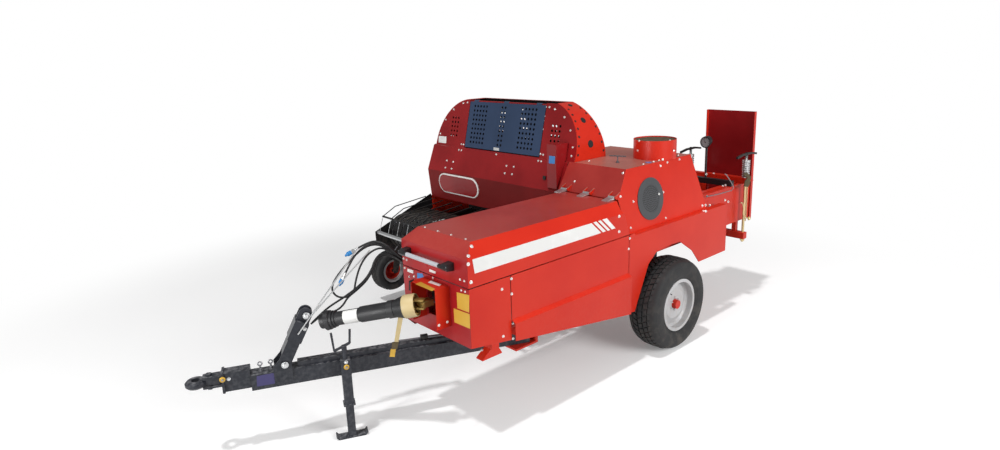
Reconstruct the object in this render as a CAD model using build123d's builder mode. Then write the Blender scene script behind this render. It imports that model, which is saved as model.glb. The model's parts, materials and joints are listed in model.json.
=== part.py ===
from build123d import *
import math
import os

os.makedirs("parts", exist_ok=True)

# Square baler with pickup, parked on its two wheels and its tongue jack.
# Frame: +X is the way it is towed, +Y its left side, +Z up.
# The origin lies on the ground under the middle of the whole machine.

# Datums of the machine
axle_x = -890.5  # wheel axle
side_y = 1262.0  # outer plane of the left side sheets
ground_z = 0.0

# Running clearances
seat_gap = 0.3  # between touching pieces of two bodies
shaft_gap = 0.05  # round a shaft in its hole
swing_gap = 6.0  # between a moving piece and its neighbour
seam_gap = 6.0  # between two sheets at a seam

# Wheels, size 10.0/75-15.3
tyre_radius = 372.0
tyre_width = 264.0
bead_radius = 194.0
rim_flange_radius = 212.0
rim_width = 232.0
rim_wall = 7.0
hub_radius = 62.0
stub_radius = 24.0
disc_inset = 48.0  # wheel disc inside the outer flange
wheel_z = ground_z + tyre_radius
left_wheel_y = side_y
track = 2262.0
right_wheel_y = left_wheel_y - track

# Axle beam and main rails
axle_tube = 90.0
axle_wall = 8.0
rail_width = 60.0
rail_height = 60.0
rail_wall = 5.0
rail_inset = 60.0  # chamber wall to the rail's middle
post_length = 120.0  # of the posts on the axle, along the machine
outrigger_reaches = [620.0, 1100.0, 1840.0]
foot_inset = 12.0  # foot bracket, inside the side plane
foot_width = 60.0
foot_z = 546.0
foot_sheet = 6.0
foot_front = 100.0  # foot ahead of its outrigger

# Bale chamber
bale_width = 460.0
bale_height = 360.0
chamber_wall = 6.0
chamber_inset = 124.0  # side plane to the channel's left wall, inside
chamber_floor_z = 765.0
chamber_rear_reach = 1500.0  # axle to the outlet
chamber_front_reach = 1240.0  # axle to the plunger end
chamber_flange = 34.0
channel_left_y = side_y - chamber_inset
channel_right_y = channel_left_y - bale_width
channel_mid_y = (channel_left_y + channel_right_y) / 2
channel_top_z = chamber_floor_z + bale_height
chamber_rear_x = axle_x - chamber_rear_reach
chamber_front_x = axle_x + chamber_front_reach
chamber_left_out = channel_left_y + chamber_wall
chamber_right_out = channel_right_y - chamber_wall

# Sheet metal of the covers
sheet = 3.0
front_reach = 2033.0  # axle to the front sheet
front_x = axle_x + front_reach
cover_width = 674.0
cover_right_y = side_y - cover_width
lid_seam_z = 1041.0
fold_z = 1214.0  # where the lid's sides and front start to lean in
deck_z = 1293.0
deck_inset = 72.0  # lean of the lid's sides
deck_setback = 88.0  # lean of the lid's front
front_bottom_z = 663.0
belly_rear_z = 414.0  # lower edge of the side sheets at the wheel arch
arch_front_reach = 430.0
guard_rear_reach = 510.0  # seam between the side guard and the arch sheet
guard_front_reach = 1700.0  # seam between the side guard and the front sheet
swage_z = 745.0
swage_out = 30.0
swage_drop = 20.0
fender_rear_reach = 885.0
fender_top_z = 1020.0
fender_bottom_z = 594.0

# Lid hinge
hinge_x = axle_x + 552.0
hinge_z = 1308.0
hinge_pin_radius = 6.0
hinge_leaf = 56.0
hinge_ys = [side_y - 132.0, side_y - 373.0, side_y - 600.0]

# Knotter housing
housing_top_z = 1497.0
housing_lean = 68.0  # lean of its left side from bottom to top
housing_out = 50.0  # side plane to the housing's foot
housing_bottom_z = 1020.0
housing_right_y = side_y - 950.0
grille_reach = 142.0
grille_z = 1234.0
grille_radius = 164.0
grille_field = 105.0  # radius of the perforated field
grille_rings = 6
grille_hole_radius = 5.5
grille_thickness = 5.0
cowl_reach = -175.0
cowl_inset = 270.0
cowl_radius = 171.0
cowl_height = 153.0

# Feeder and hood
feeder_left_y = side_y - 680.0
feeder_right_y = side_y - 2470.0
feeder_rear_x = axle_x + 13.0
feeder_floor_front_reach = 476.0
feeder_lip_reach = 483.0
feeder_lip_z = 979.0
feeder_crease_reach = 511.0
feeder_crease_z = 1258.0
feeder_head_reach = 420.0
feeder_head_z = 1490.0
hood_left_y = side_y - 624.0
hood_right_y = side_y - 2452.0
hood_front_reach = 403.0  # at the foot
hood_top_z = 1945.0
hood_lean_reach = 297.0  # at the top
hood_left_shoulder = 266.0
hood_right_shoulder = 462.0
door_left_y = side_y - 1016.0
door_right_y = side_y - 2014.0
door_hinge_radius = 9.0

# Pickup
pickup_left_y = side_y - 706.0
pickup_right_y = side_y - 2486.0
pickup_plate = 5.0
reel_reach = 860.0
reel_z = 700.0
reel_tip_radius = 225.0
reel_tube_radius = 38.0
tine_bar_radius = 12.0
tine_bar_circle = 96.0
tine_radius = 3.5
tine_pitch = 72.0
stripper_width = 54.0
stripper_radius = 170.0
stripper_sheet = 3.0
pickup_pivot_reach = 530.0
pickup_pivot_z = 800.0
pickup_pin_radius = 20.0
pickup_pin_end = 5.0  # pin past the plate it carries
pickup_boss_radius = 32.0
windguard_reach = 1126.0
windguard_z = 730.0
windguard_radius = 17.0

# Gauge wheel
gauge_reach = 959.0
gauge_z = 289.0
gauge_radius = 200.0
gauge_width = 150.0
gauge_y = side_y - 2580.0

# Tongue
tongue_pivot_reach = 1380.0
tongue_pivot_inset = 296.0
tongue_angle = -24.0  # from straight ahead to the parked place
tongue_width = 100.0
tongue_height = 100.0
tongue_z = 400.0  # underside of the beam
tongue_wall = 6.0
pivot_pin_radius = 25.0
beam_rear = 70.0  # beam behind its pivot
beam_front = 1746.0  # pivot to the front box
eye_distance = 2057.0
eye_z = 490.0
eye_outer = 62.0
eye_bore = 25.0
eye_thickness = 42.0
arm_foot_distance = 1548.0
arm_foot_z = 536.0
arm_head_distance = 1390.0
arm_head_z = 836.0
jack_distance = 1182.0
jack_offset = 105.0

# Driveline
driveline_joint_reach = 2150.0
driveline_joint_inset = 310.0
driveline_joint_z = 900.0
arm_lead = 72.0  # driveline end behind the arm's head
driveline_end_distance = arm_head_distance - arm_lead  # along the tongue, from its pivot
driveline_end_z = 764.0
pto_bore_radius = 17.5
pto_bore_length = 60.0
shaft_radius = 18.0
cross_block = 36.0
cross_pin_radius = 11.0
cross_pin_length = 66.0

# Bale chute
chute_reach = 1536.0
chute_width = 491.0
chute_bottom_z = 734.0
chute_top_z = 1757.0
chute_sheet = 4.0
chute_flange = 34.0
chute_pin_out = 20.0  # behind the chamber's outlet
chute_pin_z = 742.0
chute_pin_radius = 8.0
chute_barrel = 16.0
lug_spread = 300.0
lug_thickness = 12.0


def save(part, name):
    """Label one finished piece and write its file."""
    part.label = name
    export_step(part, "parts/" + name + ".step")


# Wheels


def wheel_plane(x, y, z):
    """Plane whose X runs outward along the axle line and Y runs up."""
    return Plane(origin=(x, y, z), x_dir=(0, 1, 0), z_dir=(1, 0, 0))


def tyre_solid(plane, radius, width, bead, flange, half_rim):
    """Tyre as one ring, turned about the plane's X axis."""
    with BuildPart() as tyre:
        with BuildSketch(plane):
            with BuildLine():
                half = width / 2
                shoulder = half * 0.80
                bead_half = half_rim - rim_wall
                side_mid = (flange + radius) / 2
                Polyline(
                    (-bead_half, bead),
                    (bead_half, bead),
                    (bead_half, flange + 2),
                    (half, side_mid),
                    (shoulder, radius - 16),
                    (shoulder * 0.45, radius),
                    (-shoulder * 0.45, radius),
                    (-shoulder, radius - 16),
                    (-half, side_mid),
                    (-bead_half, flange + 2),
                    close=True,
                )
            make_face()
        revolve(axis=Axis(plane.origin, plane.x_dir))
    return tyre.part


def rim_solid(plane, bead, flange, width, wall, inset, hub, bore, side):
    """Rim with its disc and hub, turned about the plane's X axis."""
    half = width / 2
    disc = side * (half - inset)
    well = bead - 26
    with BuildPart() as rim:
        with BuildSketch(plane):
            with BuildLine():
                Polyline(
                    (-half, bead - wall),
                    (-half, flange),
                    (-half + wall, flange),
                    (-half + wall, bead),
                    (-half * 0.55, bead),
                    (-half * 0.40, well + wall),
                    (half * 0.40, well + wall),
                    (half * 0.55, bead),
                    (half - wall, bead),
                    (half - wall, flange),
                    (half, flange),
                    (half, bead - wall),
                    (half * 0.55 + wall * 0.6, bead - wall),
                    (half * 0.40 + wall * 0.6, well),
                    (-half * 0.40 - wall * 0.6, well),
                    (-half * 0.55 - wall * 0.6, bead - wall),
                    close=True,
                )
            make_face()
        revolve(axis=Axis(plane.origin, plane.x_dir))
        with BuildSketch(plane):
            with BuildLine():
                reach = side * 16
                Polyline(
                    (disc - reach, well + 4),
                    (disc + reach * 0.3, hub * 1.9),
                    (disc, hub * 1.1),
                    (disc, bore),
                    (disc - side * wall, bore),
                    (disc - side * wall, hub * 1.1),
                    (disc - side * wall + reach * 0.3, hub * 1.9),
                    (disc - reach - side * wall, well + 4),
                    close=True,
                )
            make_face()
        revolve(axis=Axis(plane.origin, plane.x_dir))
    return rim.part


def hub_solid(plane, disc, hub, bore, side, depth):
    """Wheel hub with a bore for its stub axle."""
    with BuildPart() as body:
        with BuildSketch(plane):
            with BuildLine():
                Polyline(
                    (disc - side * depth, bore),
                    (disc - side * depth, hub * 0.8),
                    (disc - side * rim_wall, hub * 0.8),
                    (disc - side * rim_wall, hub * 0.61),
                    (disc, hub * 0.61),
                    (disc + side * 34, hub * 0.56),
                    (disc + side * 34, 0),
                    (disc + side * 30, 0),
                    (disc + side * 30, bore),
                    close=True,
                )
            make_face()
        revolve(axis=Axis(plane.origin, plane.x_dir))
    return body.part


rim_half = rim_width / 2
left_disc = rim_half - disc_inset
main_wheels = [
    # name, place across the machine, side that faces out
    ("left", left_wheel_y, 1),
    ("right", right_wheel_y, -1),
]
for wheel_name, wheel_y, out in main_wheels:
    axle_plane = wheel_plane(axle_x, wheel_y, wheel_z)
    tyre = tyre_solid(axle_plane, tyre_radius, tyre_width, bead_radius, rim_flange_radius, rim_half)
    save(tyre, wheel_name + "_tyre")
    disc_y = out * left_disc
    rim = rim_solid(
        axle_plane,
        bead_radius,
        rim_flange_radius,
        rim_width,
        rim_wall,
        disc_inset,
        hub_radius,
        hub_radius * 0.62,
        out,
    )
    save(rim, wheel_name + "_rim")
    hub = hub_solid(axle_plane, disc_y, hub_radius, stub_radius + shaft_gap, out, 120)
    save(hub, wheel_name + "_hub")

# Axle beam with its stub axles and the posts up to the chamber

rail_z = front_bottom_z - rail_height
rail_left_y = chamber_left_out - rail_inset
rail_right_y = chamber_right_out + rail_inset
with BuildPart() as axle_beam:
    beam_left = left_wheel_y - tyre_width / 2 + 22
    beam_right = right_wheel_y + tyre_width / 2 - 22
    beam_mid = (beam_left + beam_right) / 2
    beam_length = beam_left - beam_right
    with BuildSketch(Plane.XZ.offset(-beam_left)):
        with Locations((axle_x, wheel_z)):
            Rectangle(axle_tube, axle_tube)
            Rectangle(axle_tube - 2 * axle_wall, axle_tube - 2 * axle_wall, mode=Mode.SUBTRACT)
    extrude(amount=beam_length)
    for end_y, stub_out in [(beam_left, 1), (beam_right, -1)]:
        cap_y = end_y if stub_out > 0 else end_y + axle_wall
        with BuildSketch(Plane.XZ.offset(-cap_y)):
            with Locations((axle_x, wheel_z)):
                Rectangle(axle_tube, axle_tube)
        extrude(amount=axle_wall)
        stub_end = (left_wheel_y if stub_out > 0 else right_wheel_y) + stub_out * (left_disc + 29)
        with BuildSketch(Plane.XZ.offset(-max(stub_end, end_y))):
            with Locations((axle_x, wheel_z)):
                Circle(stub_radius)
        extrude(amount=abs(stub_end - end_y))
    post_bottom = wheel_z + axle_tube / 2
    post_top = chamber_floor_z - chamber_wall
    for post_y in (rail_left_y, rail_right_y):
        with BuildSketch(Plane.XY.offset(post_bottom)):
            with Locations((axle_x, post_y)):
                Rectangle(post_length, rail_width)
        extrude(amount=post_top - post_bottom)
save(axle_beam.part, "axle_beam")

# Main rails under the chamber and the front covers

rail_front_x = axle_x + outrigger_reaches[-1] + rail_width / 2
rail_rear_x = axle_x + post_length / 2
rail_top_z = rail_z + rail_height
pivot_x = axle_x + tongue_pivot_reach
pivot_y = side_y - tongue_pivot_inset
tongue_top_z = tongue_z + tongue_height
bracket_plate = 14.0
ear_gap = 2.0
ear_length = 200.0
ear_width = 180.0
ear_web = 20.0
ear_top_z = tongue_top_z + ear_gap
ear_low_z = tongue_z - ear_gap - bracket_plate
with BuildPart() as main_frame:
    for rail_y in (rail_left_y, rail_right_y):
        with BuildSketch(Plane.YZ.offset(rail_rear_x)):
            with Locations((rail_y, rail_z + rail_height / 2)):
                Rectangle(rail_width, rail_height)
        extrude(amount=rail_front_x - rail_rear_x)
    # Outriggers that carry the side sheets
    for reach in outrigger_reaches:
        in_guard = guard_rear_reach < reach < guard_front_reach
        outer_y = side_y - sheet + (swage_out if in_guard else 0)
        inner_y = cover_right_y + sheet
        with BuildSketch(Plane.XY.offset(rail_z)):
            with Locations((axle_x + reach, (outer_y + inner_y) / 2)):
                Rectangle(rail_width, outer_y - inner_y)
        extrude(amount=rail_height)
    # Cross members behind the axle posts' front faces and at the tongue's pivot
    for cross_x in (rail_rear_x + rail_width / 2, pivot_x):
        with BuildSketch(Plane.XY.offset(rail_z)):
            with Locations((cross_x, (rail_left_y + rail_right_y) / 2)):
                Rectangle(rail_width, rail_left_y - rail_right_y)
        extrude(amount=rail_height)
    # Bearers that carry the chamber floor
    for bearer_x in (rail_rear_x + rail_width / 2, chamber_front_x - rail_width):
        with BuildSketch(Plane.XY.offset(rail_top_z)):
            with Locations((bearer_x, channel_mid_y)):
                Rectangle(rail_width, rail_left_y - rail_right_y)
        extrude(amount=chamber_floor_z - chamber_wall - rail_top_z)
    # Ears that take the tongue's pivot pin, joined by a web behind the beam
    for base_z, height in ((ear_top_z, rail_z - ear_top_z), (ear_low_z, bracket_plate)):
        with BuildSketch(Plane.XY.offset(base_z)):
            with Locations((pivot_x, pivot_y)):
                Rectangle(ear_length, ear_width)
                Circle(pivot_pin_radius + shaft_gap, mode=Mode.SUBTRACT)
        extrude(amount=height)
    with BuildSketch(Plane.XY.offset(ear_low_z)):
        with Locations((pivot_x - ear_length / 2, pivot_y)):
            Rectangle(ear_web, ear_width)
    extrude(amount=rail_z - ear_low_z)
    # Foot bracket under the front left corner
    foot_x = axle_x + outrigger_reaches[-1]
    with BuildSketch(Plane.XZ.offset(-(side_y - foot_inset))):
        with BuildLine():
            Polyline(
                (foot_x - rail_width / 2, rail_z),
                (foot_x - rail_width, foot_z + foot_sheet),
                (foot_x - rail_width, foot_z),
                (foot_x + foot_front, foot_z),
                (foot_x + foot_front, foot_z + foot_sheet),
                (foot_x + rail_width / 2, rail_z),
                close=True,
            )
        make_face()
    extrude(amount=foot_width)
save(main_frame.part, "main_frame")

# Bale chamber: floor, two walls with flanges, and the cross members

chute_x = axle_x - chute_reach
chute_left_y = channel_mid_y + chute_width / 2
chute_pin_x = chamber_rear_x - chute_pin_out
lug_ys = [channel_mid_y + lug_spread / 2, channel_mid_y - lug_spread / 2]
window_front_x = axle_x + 476
window_rear_x = axle_x + 24
with BuildPart() as bale_chamber:
    with BuildSketch(Plane.YZ.offset(chamber_rear_x)):
        with BuildLine():
            Polyline(
                (chamber_left_out + chamber_flange, channel_top_z),
                (chamber_left_out + chamber_flange, channel_top_z - chamber_wall),
                (chamber_left_out, channel_top_z - chamber_wall),
                (chamber_left_out, chamber_floor_z - chamber_wall),
                (chamber_right_out, chamber_floor_z - chamber_wall),
                (chamber_right_out, channel_top_z - chamber_wall),
                (chamber_right_out - chamber_flange, channel_top_z - chamber_wall),
                (chamber_right_out - chamber_flange, channel_top_z),
                (channel_right_y, channel_top_z),
                (channel_right_y, chamber_floor_z),
                (channel_left_y, chamber_floor_z),
                (channel_left_y, channel_top_z),
                close=True,
            )
        make_face()
    extrude(amount=chamber_front_x - chamber_rear_x)
    with BuildSketch(Plane.XZ.offset(-channel_mid_y)):
        with Locations(((window_front_x + window_rear_x) / 2, chamber_floor_z + bale_height / 2)):
            Rectangle(window_front_x - window_rear_x, bale_height - 20)
    extrude(amount=bale_width, mode=Mode.SUBTRACT)
    # The right flange stops where the feeder joins the chamber
    with BuildSketch(Plane.XZ.offset(-chamber_right_out)):
        with Locations(((window_front_x + window_rear_x) / 2, channel_top_z)):
            Rectangle(window_front_x - window_rear_x + 60, 40)
    extrude(amount=chamber_flange + 10, mode=Mode.SUBTRACT)
    # Lugs that carry the chute
    for lug_y in lug_ys:
        with BuildSketch(Plane.XZ.offset(-(lug_y + lug_thickness / 2))):
            with BuildLine():
                Polyline(
                    (chamber_rear_x + 60, chamber_floor_z - chamber_wall),
                    (chamber_rear_x + 60, chute_pin_z - 14),
                    (chute_pin_x, chute_pin_z - 14),
                    (chute_pin_x, chute_pin_z + 14),
                    (chamber_rear_x, chute_pin_z + 14),
                    (chamber_rear_x, chamber_floor_z - chamber_wall),
                    close=True,
                )
            make_face()
            with Locations((chute_pin_x, chute_pin_z)):
                Circle(14)
                Circle(chute_pin_radius + shaft_gap, mode=Mode.SUBTRACT)
        extrude(amount=lug_thickness)
save(bale_chamber.part, "bale_chamber")

# Tension gear at the outlet

tension_x = axle_x - 1310
screw_radius = 12.0
screw_left_y = chamber_left_out + chamber_flange + screw_radius + swing_gap
screw_right_y = chamber_right_out - chamber_flange - screw_radius - swing_gap
beam_top_z = 1180.0
lower_beam_z = 600.0
lower_beam_height = 60.0
tension_rail_height = 45.0
with BuildPart() as tension_rails:
    for tension_y in (channel_left_y - 40, channel_right_y + 40):
        with BuildSketch(Plane.XZ.offset(-(tension_y + 25))):
            with BuildLine():
                Polyline(
                    (tension_x - 150, channel_top_z - tension_rail_height),
                    (tension_x + 520, channel_top_z - tension_rail_height),
                    (tension_x + 620, channel_top_z - 12),
                    (tension_x + 620, channel_top_z),
                    (tension_x - 180, channel_top_z),
                    (tension_x - 180, channel_top_z - 12),
                    close=True,
                )
            make_face()
        extrude(amount=50)
save(tension_rails.part, "tension_rails")

with BuildPart() as tension_frame:
    for base_z, height in ((channel_top_z, beam_top_z - channel_top_z), (lower_beam_z, lower_beam_height)):
        with BuildSketch(Plane.XY.offset(base_z)):
            with Locations((tension_x, channel_mid_y)):
                Rectangle(60, screw_left_y - screw_right_y + 50)
            with Locations((tension_x, screw_left_y), (tension_x, screw_right_y)):
                Circle(screw_radius + shaft_gap, mode=Mode.SUBTRACT)
        extrude(amount=height)
    for post_y in (chamber_left_out - 30, chamber_right_out + 30):
        with BuildSketch(Plane.XY.offset(lower_beam_z + lower_beam_height)):
            with Locations((tension_x, post_y)):
                Rectangle(40, 40)
        extrude(amount=chamber_floor_z - chamber_wall - lower_beam_z - lower_beam_height)
save(tension_frame.part, "tension_frame")

screw_top_z = 1410.0
screw_end = 30.0  # screw below the lower beam
screw_nut = 20.0
spring_height = 140.0
spring_seat = 8.0
spring_cap = 12.0
spring_radius = 34.0
spring_wire = 11.0
spring_coils = 7
screw_handle = 350.0
screw_handle_radius = 9.0
screw_handle_droop = 16.0
spring_foot_z = beam_top_z + spring_seat
coil_pitch = spring_height / spring_coils
with BuildPart() as tension_screws:
    for screw_y in (screw_left_y, screw_right_y):
        with BuildSketch(Plane.XY.offset(lower_beam_z - screw_end)):
            with Locations((tension_x, screw_y)):
                Circle(screw_radius)
        extrude(amount=screw_top_z - lower_beam_z + screw_end)
        with BuildSketch(Plane.XY.offset(lower_beam_z - screw_nut)):
            with Locations((tension_x, screw_y)):
                RegularPolygon(screw_nut, 6)
        extrude(amount=screw_nut)
        for seat_z, seat_height in ((beam_top_z, spring_seat), (spring_foot_z + spring_height, spring_cap)):
            with BuildSketch(Plane.XY.offset(seat_z)):
                with Locations((tension_x, screw_y)):
                    Circle(spring_radius)
            extrude(amount=seat_height)
        # Spring, drawn as one ring for each coil
        spring_foot = Vector(tension_x, screw_y, spring_foot_z)
        with BuildSketch(Plane(origin=spring_foot, z_dir=(0, -1, 0), x_dir=(1, 0, 0))):
            with BuildLine():
                coil_points = [(screw_radius - 1, 0)]
                for coil in range(spring_coils):
                    coil_z = coil * coil_pitch
                    coil_points.append((spring_radius - spring_wire, coil_z))
                    coil_points.append((spring_radius, coil_z + coil_pitch * 0.3))
                    coil_points.append((spring_radius, coil_z + coil_pitch * 0.7))
                coil_points.append((spring_radius - spring_wire, spring_height))
                coil_points.append((screw_radius - 1, spring_height))
                Polyline(*coil_points, close=True)
            make_face()
        revolve(axis=Axis((tension_x, screw_y, 0), (0, 0, 1)))
        # Handle across the screw, its ends bent down a little
        handle_z = screw_top_z - screw_handle_radius - 5
        with BuildSketch(Plane.XZ.offset(-(screw_y + screw_handle_radius))):
            with BuildLine():
                half_grip = screw_handle / 2
                Polyline(
                    (tension_x - half_grip, handle_z - screw_handle_radius - screw_handle_droop),
                    (tension_x - half_grip, handle_z + screw_handle_radius - screw_handle_droop),
                    (tension_x - half_grip * 0.4, handle_z + screw_handle_radius),
                    (tension_x + half_grip * 0.4, handle_z + screw_handle_radius),
                    (tension_x + half_grip, handle_z + screw_handle_radius - screw_handle_droop),
                    (tension_x + half_grip, handle_z - screw_handle_radius - screw_handle_droop),
                    (tension_x + half_grip * 0.4, handle_z - screw_handle_radius),
                    (tension_x - half_grip * 0.4, handle_z - screw_handle_radius),
                    close=True,
                )
            make_face()
        extrude(amount=2 * screw_handle_radius)
save(tension_screws.part, "tension_screws")

# Chute at the outlet, folded up

with BuildPart() as bale_chute:
    with BuildSketch(Plane.XY.offset(chute_bottom_z)):
        with Locations((chute_x - chute_sheet / 2, channel_mid_y)):
            Rectangle(chute_sheet, chute_width)
        for flange_y in (chute_left_y - chute_sheet / 2, chute_left_y - chute_width + chute_sheet / 2):
            with Locations((chute_x + chute_flange / 2, flange_y)):
                Rectangle(chute_flange, chute_sheet)
    extrude(amount=chute_top_z - chute_bottom_z)
    barrel_half = (lug_spread - lug_thickness) / 2 - swing_gap
    with BuildSketch(Plane.XZ.offset(-(channel_mid_y + barrel_half))):
        with Locations((chute_pin_x, chute_pin_z)):
            Circle(chute_barrel)
        with Locations((chute_pin_x - 10, chute_pin_z)):
            Rectangle(14, 12)
    extrude(amount=2 * barrel_half)
    with BuildSketch(Plane.XZ.offset(-(channel_mid_y + 165))):
        with Locations((chute_pin_x, chute_pin_z)):
            Circle(chute_pin_radius)
    extrude(amount=330)
save(bale_chute.part, "bale_chute")

# Left side sheets


def belly_z(reach):
    """Height of the side sheets' sloping lower edge at a reach from the axle."""
    slope = (front_bottom_z - belly_rear_z) / (front_reach - arch_front_reach)
    return belly_rear_z + slope * (reach - arch_front_reach)


with BuildPart() as front_side_sheet:
    with BuildSketch(Plane.XZ.offset(-side_y)):
        with BuildLine():
            start = guard_front_reach + seam_gap / 2
            Polyline(
                (axle_x + start, belly_z(start)),
                (front_x - sheet, belly_z(front_reach)),
                (front_x - sheet, lid_seam_z - seam_gap),
                (axle_x + start, lid_seam_z - seam_gap),
                close=True,
            )
        make_face()
    extrude(amount=sheet)
save(front_side_sheet.part, "front_side_sheet")


def swaged_sheet(rear_reach, front_end_reach, top_z):
    """Side sheet whose lower half stands out past a swage line."""
    with BuildPart() as sheet_part:
        with BuildSketch(Plane.YZ.offset(axle_x + rear_reach)):
            with BuildLine():
                outer = side_y + swage_out
                Polyline(
                    (side_y, top_z),
                    (side_y, swage_z),
                    (outer, swage_z - swage_drop),
                    (outer, belly_rear_z),
                    (outer - sheet, belly_rear_z),
                    (outer - sheet, swage_z - swage_drop - 1),
                    (side_y - sheet, swage_z - 1),
                    (side_y - sheet, top_z),
                    close=True,
                )
            make_face()
        extrude(amount=front_end_reach - rear_reach)
        with BuildSketch(Plane.XZ.offset(-(side_y + 2 * swage_out))):
            with BuildLine():
                Polyline(
                    (axle_x + arch_front_reach, belly_rear_z),
                    (front_x, front_bottom_z),
                    (front_x, belly_rear_z - 40),
                    (axle_x + arch_front_reach - 10, belly_rear_z - 40),
                    close=True,
                )
            make_face()
        extrude(amount=3 * swage_out + sheet, mode=Mode.SUBTRACT)
    return sheet_part


guard_start = guard_rear_reach + seam_gap / 2
guard_end = guard_front_reach - seam_gap / 2
side_guard = swaged_sheet(guard_start, guard_end, lid_seam_z - seam_gap)
save(side_guard.part, "side_guard")

with BuildPart() as arch_sheet:
    with BuildSketch(Plane.XZ.offset(-side_y)):
        with BuildLine():
            Polyline(
                (axle_x + guard_rear_reach - seam_gap / 2, belly_z(guard_rear_reach)),
                (axle_x + guard_rear_reach - seam_gap / 2, lid_seam_z - seam_gap),
                (axle_x + 440, lid_seam_z - seam_gap),
                (axle_x + 436, fender_top_z),
                (axle_x - fender_rear_reach + 20, fender_top_z),
                (axle_x - fender_rear_reach, fender_top_z - 20),
                (axle_x - fender_rear_reach, fender_bottom_z),
                (axle_x - 452, fender_bottom_z),
                (axle_x - 338, 722),
                (axle_x - 160, 836),
                (axle_x - 40, 841),
                (axle_x + 157, 829),
                (axle_x + 264, 753),
                (axle_x + arch_front_reach, belly_rear_z),
                close=True,
            )
        make_face()
    extrude(amount=sheet)
    # Flange that carries the knotter housing
    with BuildSketch(Plane.XY.offset(fender_top_z - sheet)):
        with BuildLine():
            Polyline(
                (axle_x - fender_rear_reach + 20, side_y),
                (axle_x + 436, side_y),
                (axle_x + 436, side_y - housing_out - 12),
                (axle_x - fender_rear_reach + 20, side_y - housing_out - 12),
                close=True,
            )
        make_face()
    extrude(amount=sheet)
    # Stays to the chamber wall
    for stay_reach in (-800.0, 470.0):
        with BuildSketch(Plane.XZ.offset(-(side_y - sheet))):
            with Locations((axle_x + stay_reach, 900)):
                Rectangle(30, 30)
        extrude(amount=side_y - sheet - chamber_left_out)
save(arch_sheet.part, "arch_sheet")

# Front cover: the front sheet under the lid and the right side sheet

guard_left_inset = 183.0
guard_right_inset = 434.0
guard_bottom_z = 758.0
guard_top_z = 1014.0
guard_out = 107.0
right_sheet_rear_reach = 486.0
with BuildPart() as front_cover:
    with BuildSketch(Plane.YZ.offset(front_x - sheet)):
        with BuildLine():
            Polyline(
                (side_y, front_bottom_z),
                (side_y, lid_seam_z - seam_gap),
                (cover_right_y, lid_seam_z - seam_gap),
                (cover_right_y, front_bottom_z),
                close=True,
            )
        make_face()
        with BuildLine():
            Polyline(
                (side_y - guard_left_inset - 20, guard_bottom_z + 20),
                (side_y - guard_left_inset - 20, guard_top_z - 16),
                (side_y - guard_right_inset + 20, guard_top_z - 16),
                (side_y - guard_right_inset + 20, guard_bottom_z + 20),
                close=True,
            )
        make_face(mode=Mode.SUBTRACT)
    extrude(amount=sheet)
    with BuildSketch(Plane.XZ.offset(-(cover_right_y + sheet))):
        with BuildLine():
            Polyline(
                (axle_x + right_sheet_rear_reach, rail_z + rail_height - 10),
                (axle_x + right_sheet_rear_reach, lid_seam_z - seam_gap),
                (front_x, lid_seam_z - seam_gap),
                (front_x, front_bottom_z),
                (front_x - 60, rail_z),
                (axle_x + right_sheet_rear_reach + 60, rail_z),
                close=True,
            )
        make_face()
    extrude(amount=sheet)
    # Boss and pin that carry the pickup's left side
    for radius, end_y in (
        (pickup_boss_radius, pickup_left_y + seat_gap),
        (pickup_pin_radius, pickup_left_y - pickup_plate - pickup_pin_end),
    ):
        with BuildSketch(Plane.XZ.offset(-cover_right_y)):
            with Locations((axle_x + pickup_pivot_reach, pickup_pivot_z)):
                Circle(radius)
        extrude(amount=cover_right_y - end_y)
save(front_cover.part, "front_cover")

with BuildPart() as pto_guard:
    with BuildSketch(Plane.XY.offset(guard_bottom_z)):
        with BuildLine():
            Polyline(
                (front_x, side_y - guard_left_inset),
                (front_x + guard_out, side_y - guard_left_inset),
                (front_x + guard_out, side_y - guard_left_inset - sheet),
                (front_x, side_y - guard_left_inset - sheet),
                close=True,
            )
        make_face()
        with BuildLine():
            Polyline(
                (front_x, side_y - guard_right_inset),
                (front_x + guard_out, side_y - guard_right_inset),
                (front_x + guard_out, side_y - guard_right_inset + sheet),
                (front_x, side_y - guard_right_inset + sheet),
                close=True,
            )
        make_face()
    extrude(amount=guard_top_z - guard_bottom_z)
    with BuildSketch(Plane.XY.offset(guard_top_z - sheet)):
        with Locations((front_x + guard_out / 2, side_y - (guard_left_inset + guard_right_inset) / 2)):
            Rectangle(guard_out, guard_right_inset - guard_left_inset)
    extrude(amount=sheet)
save(pto_guard.part, "pto_guard")

# Gearbox with its flywheel, one plain block behind the front sheet

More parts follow.
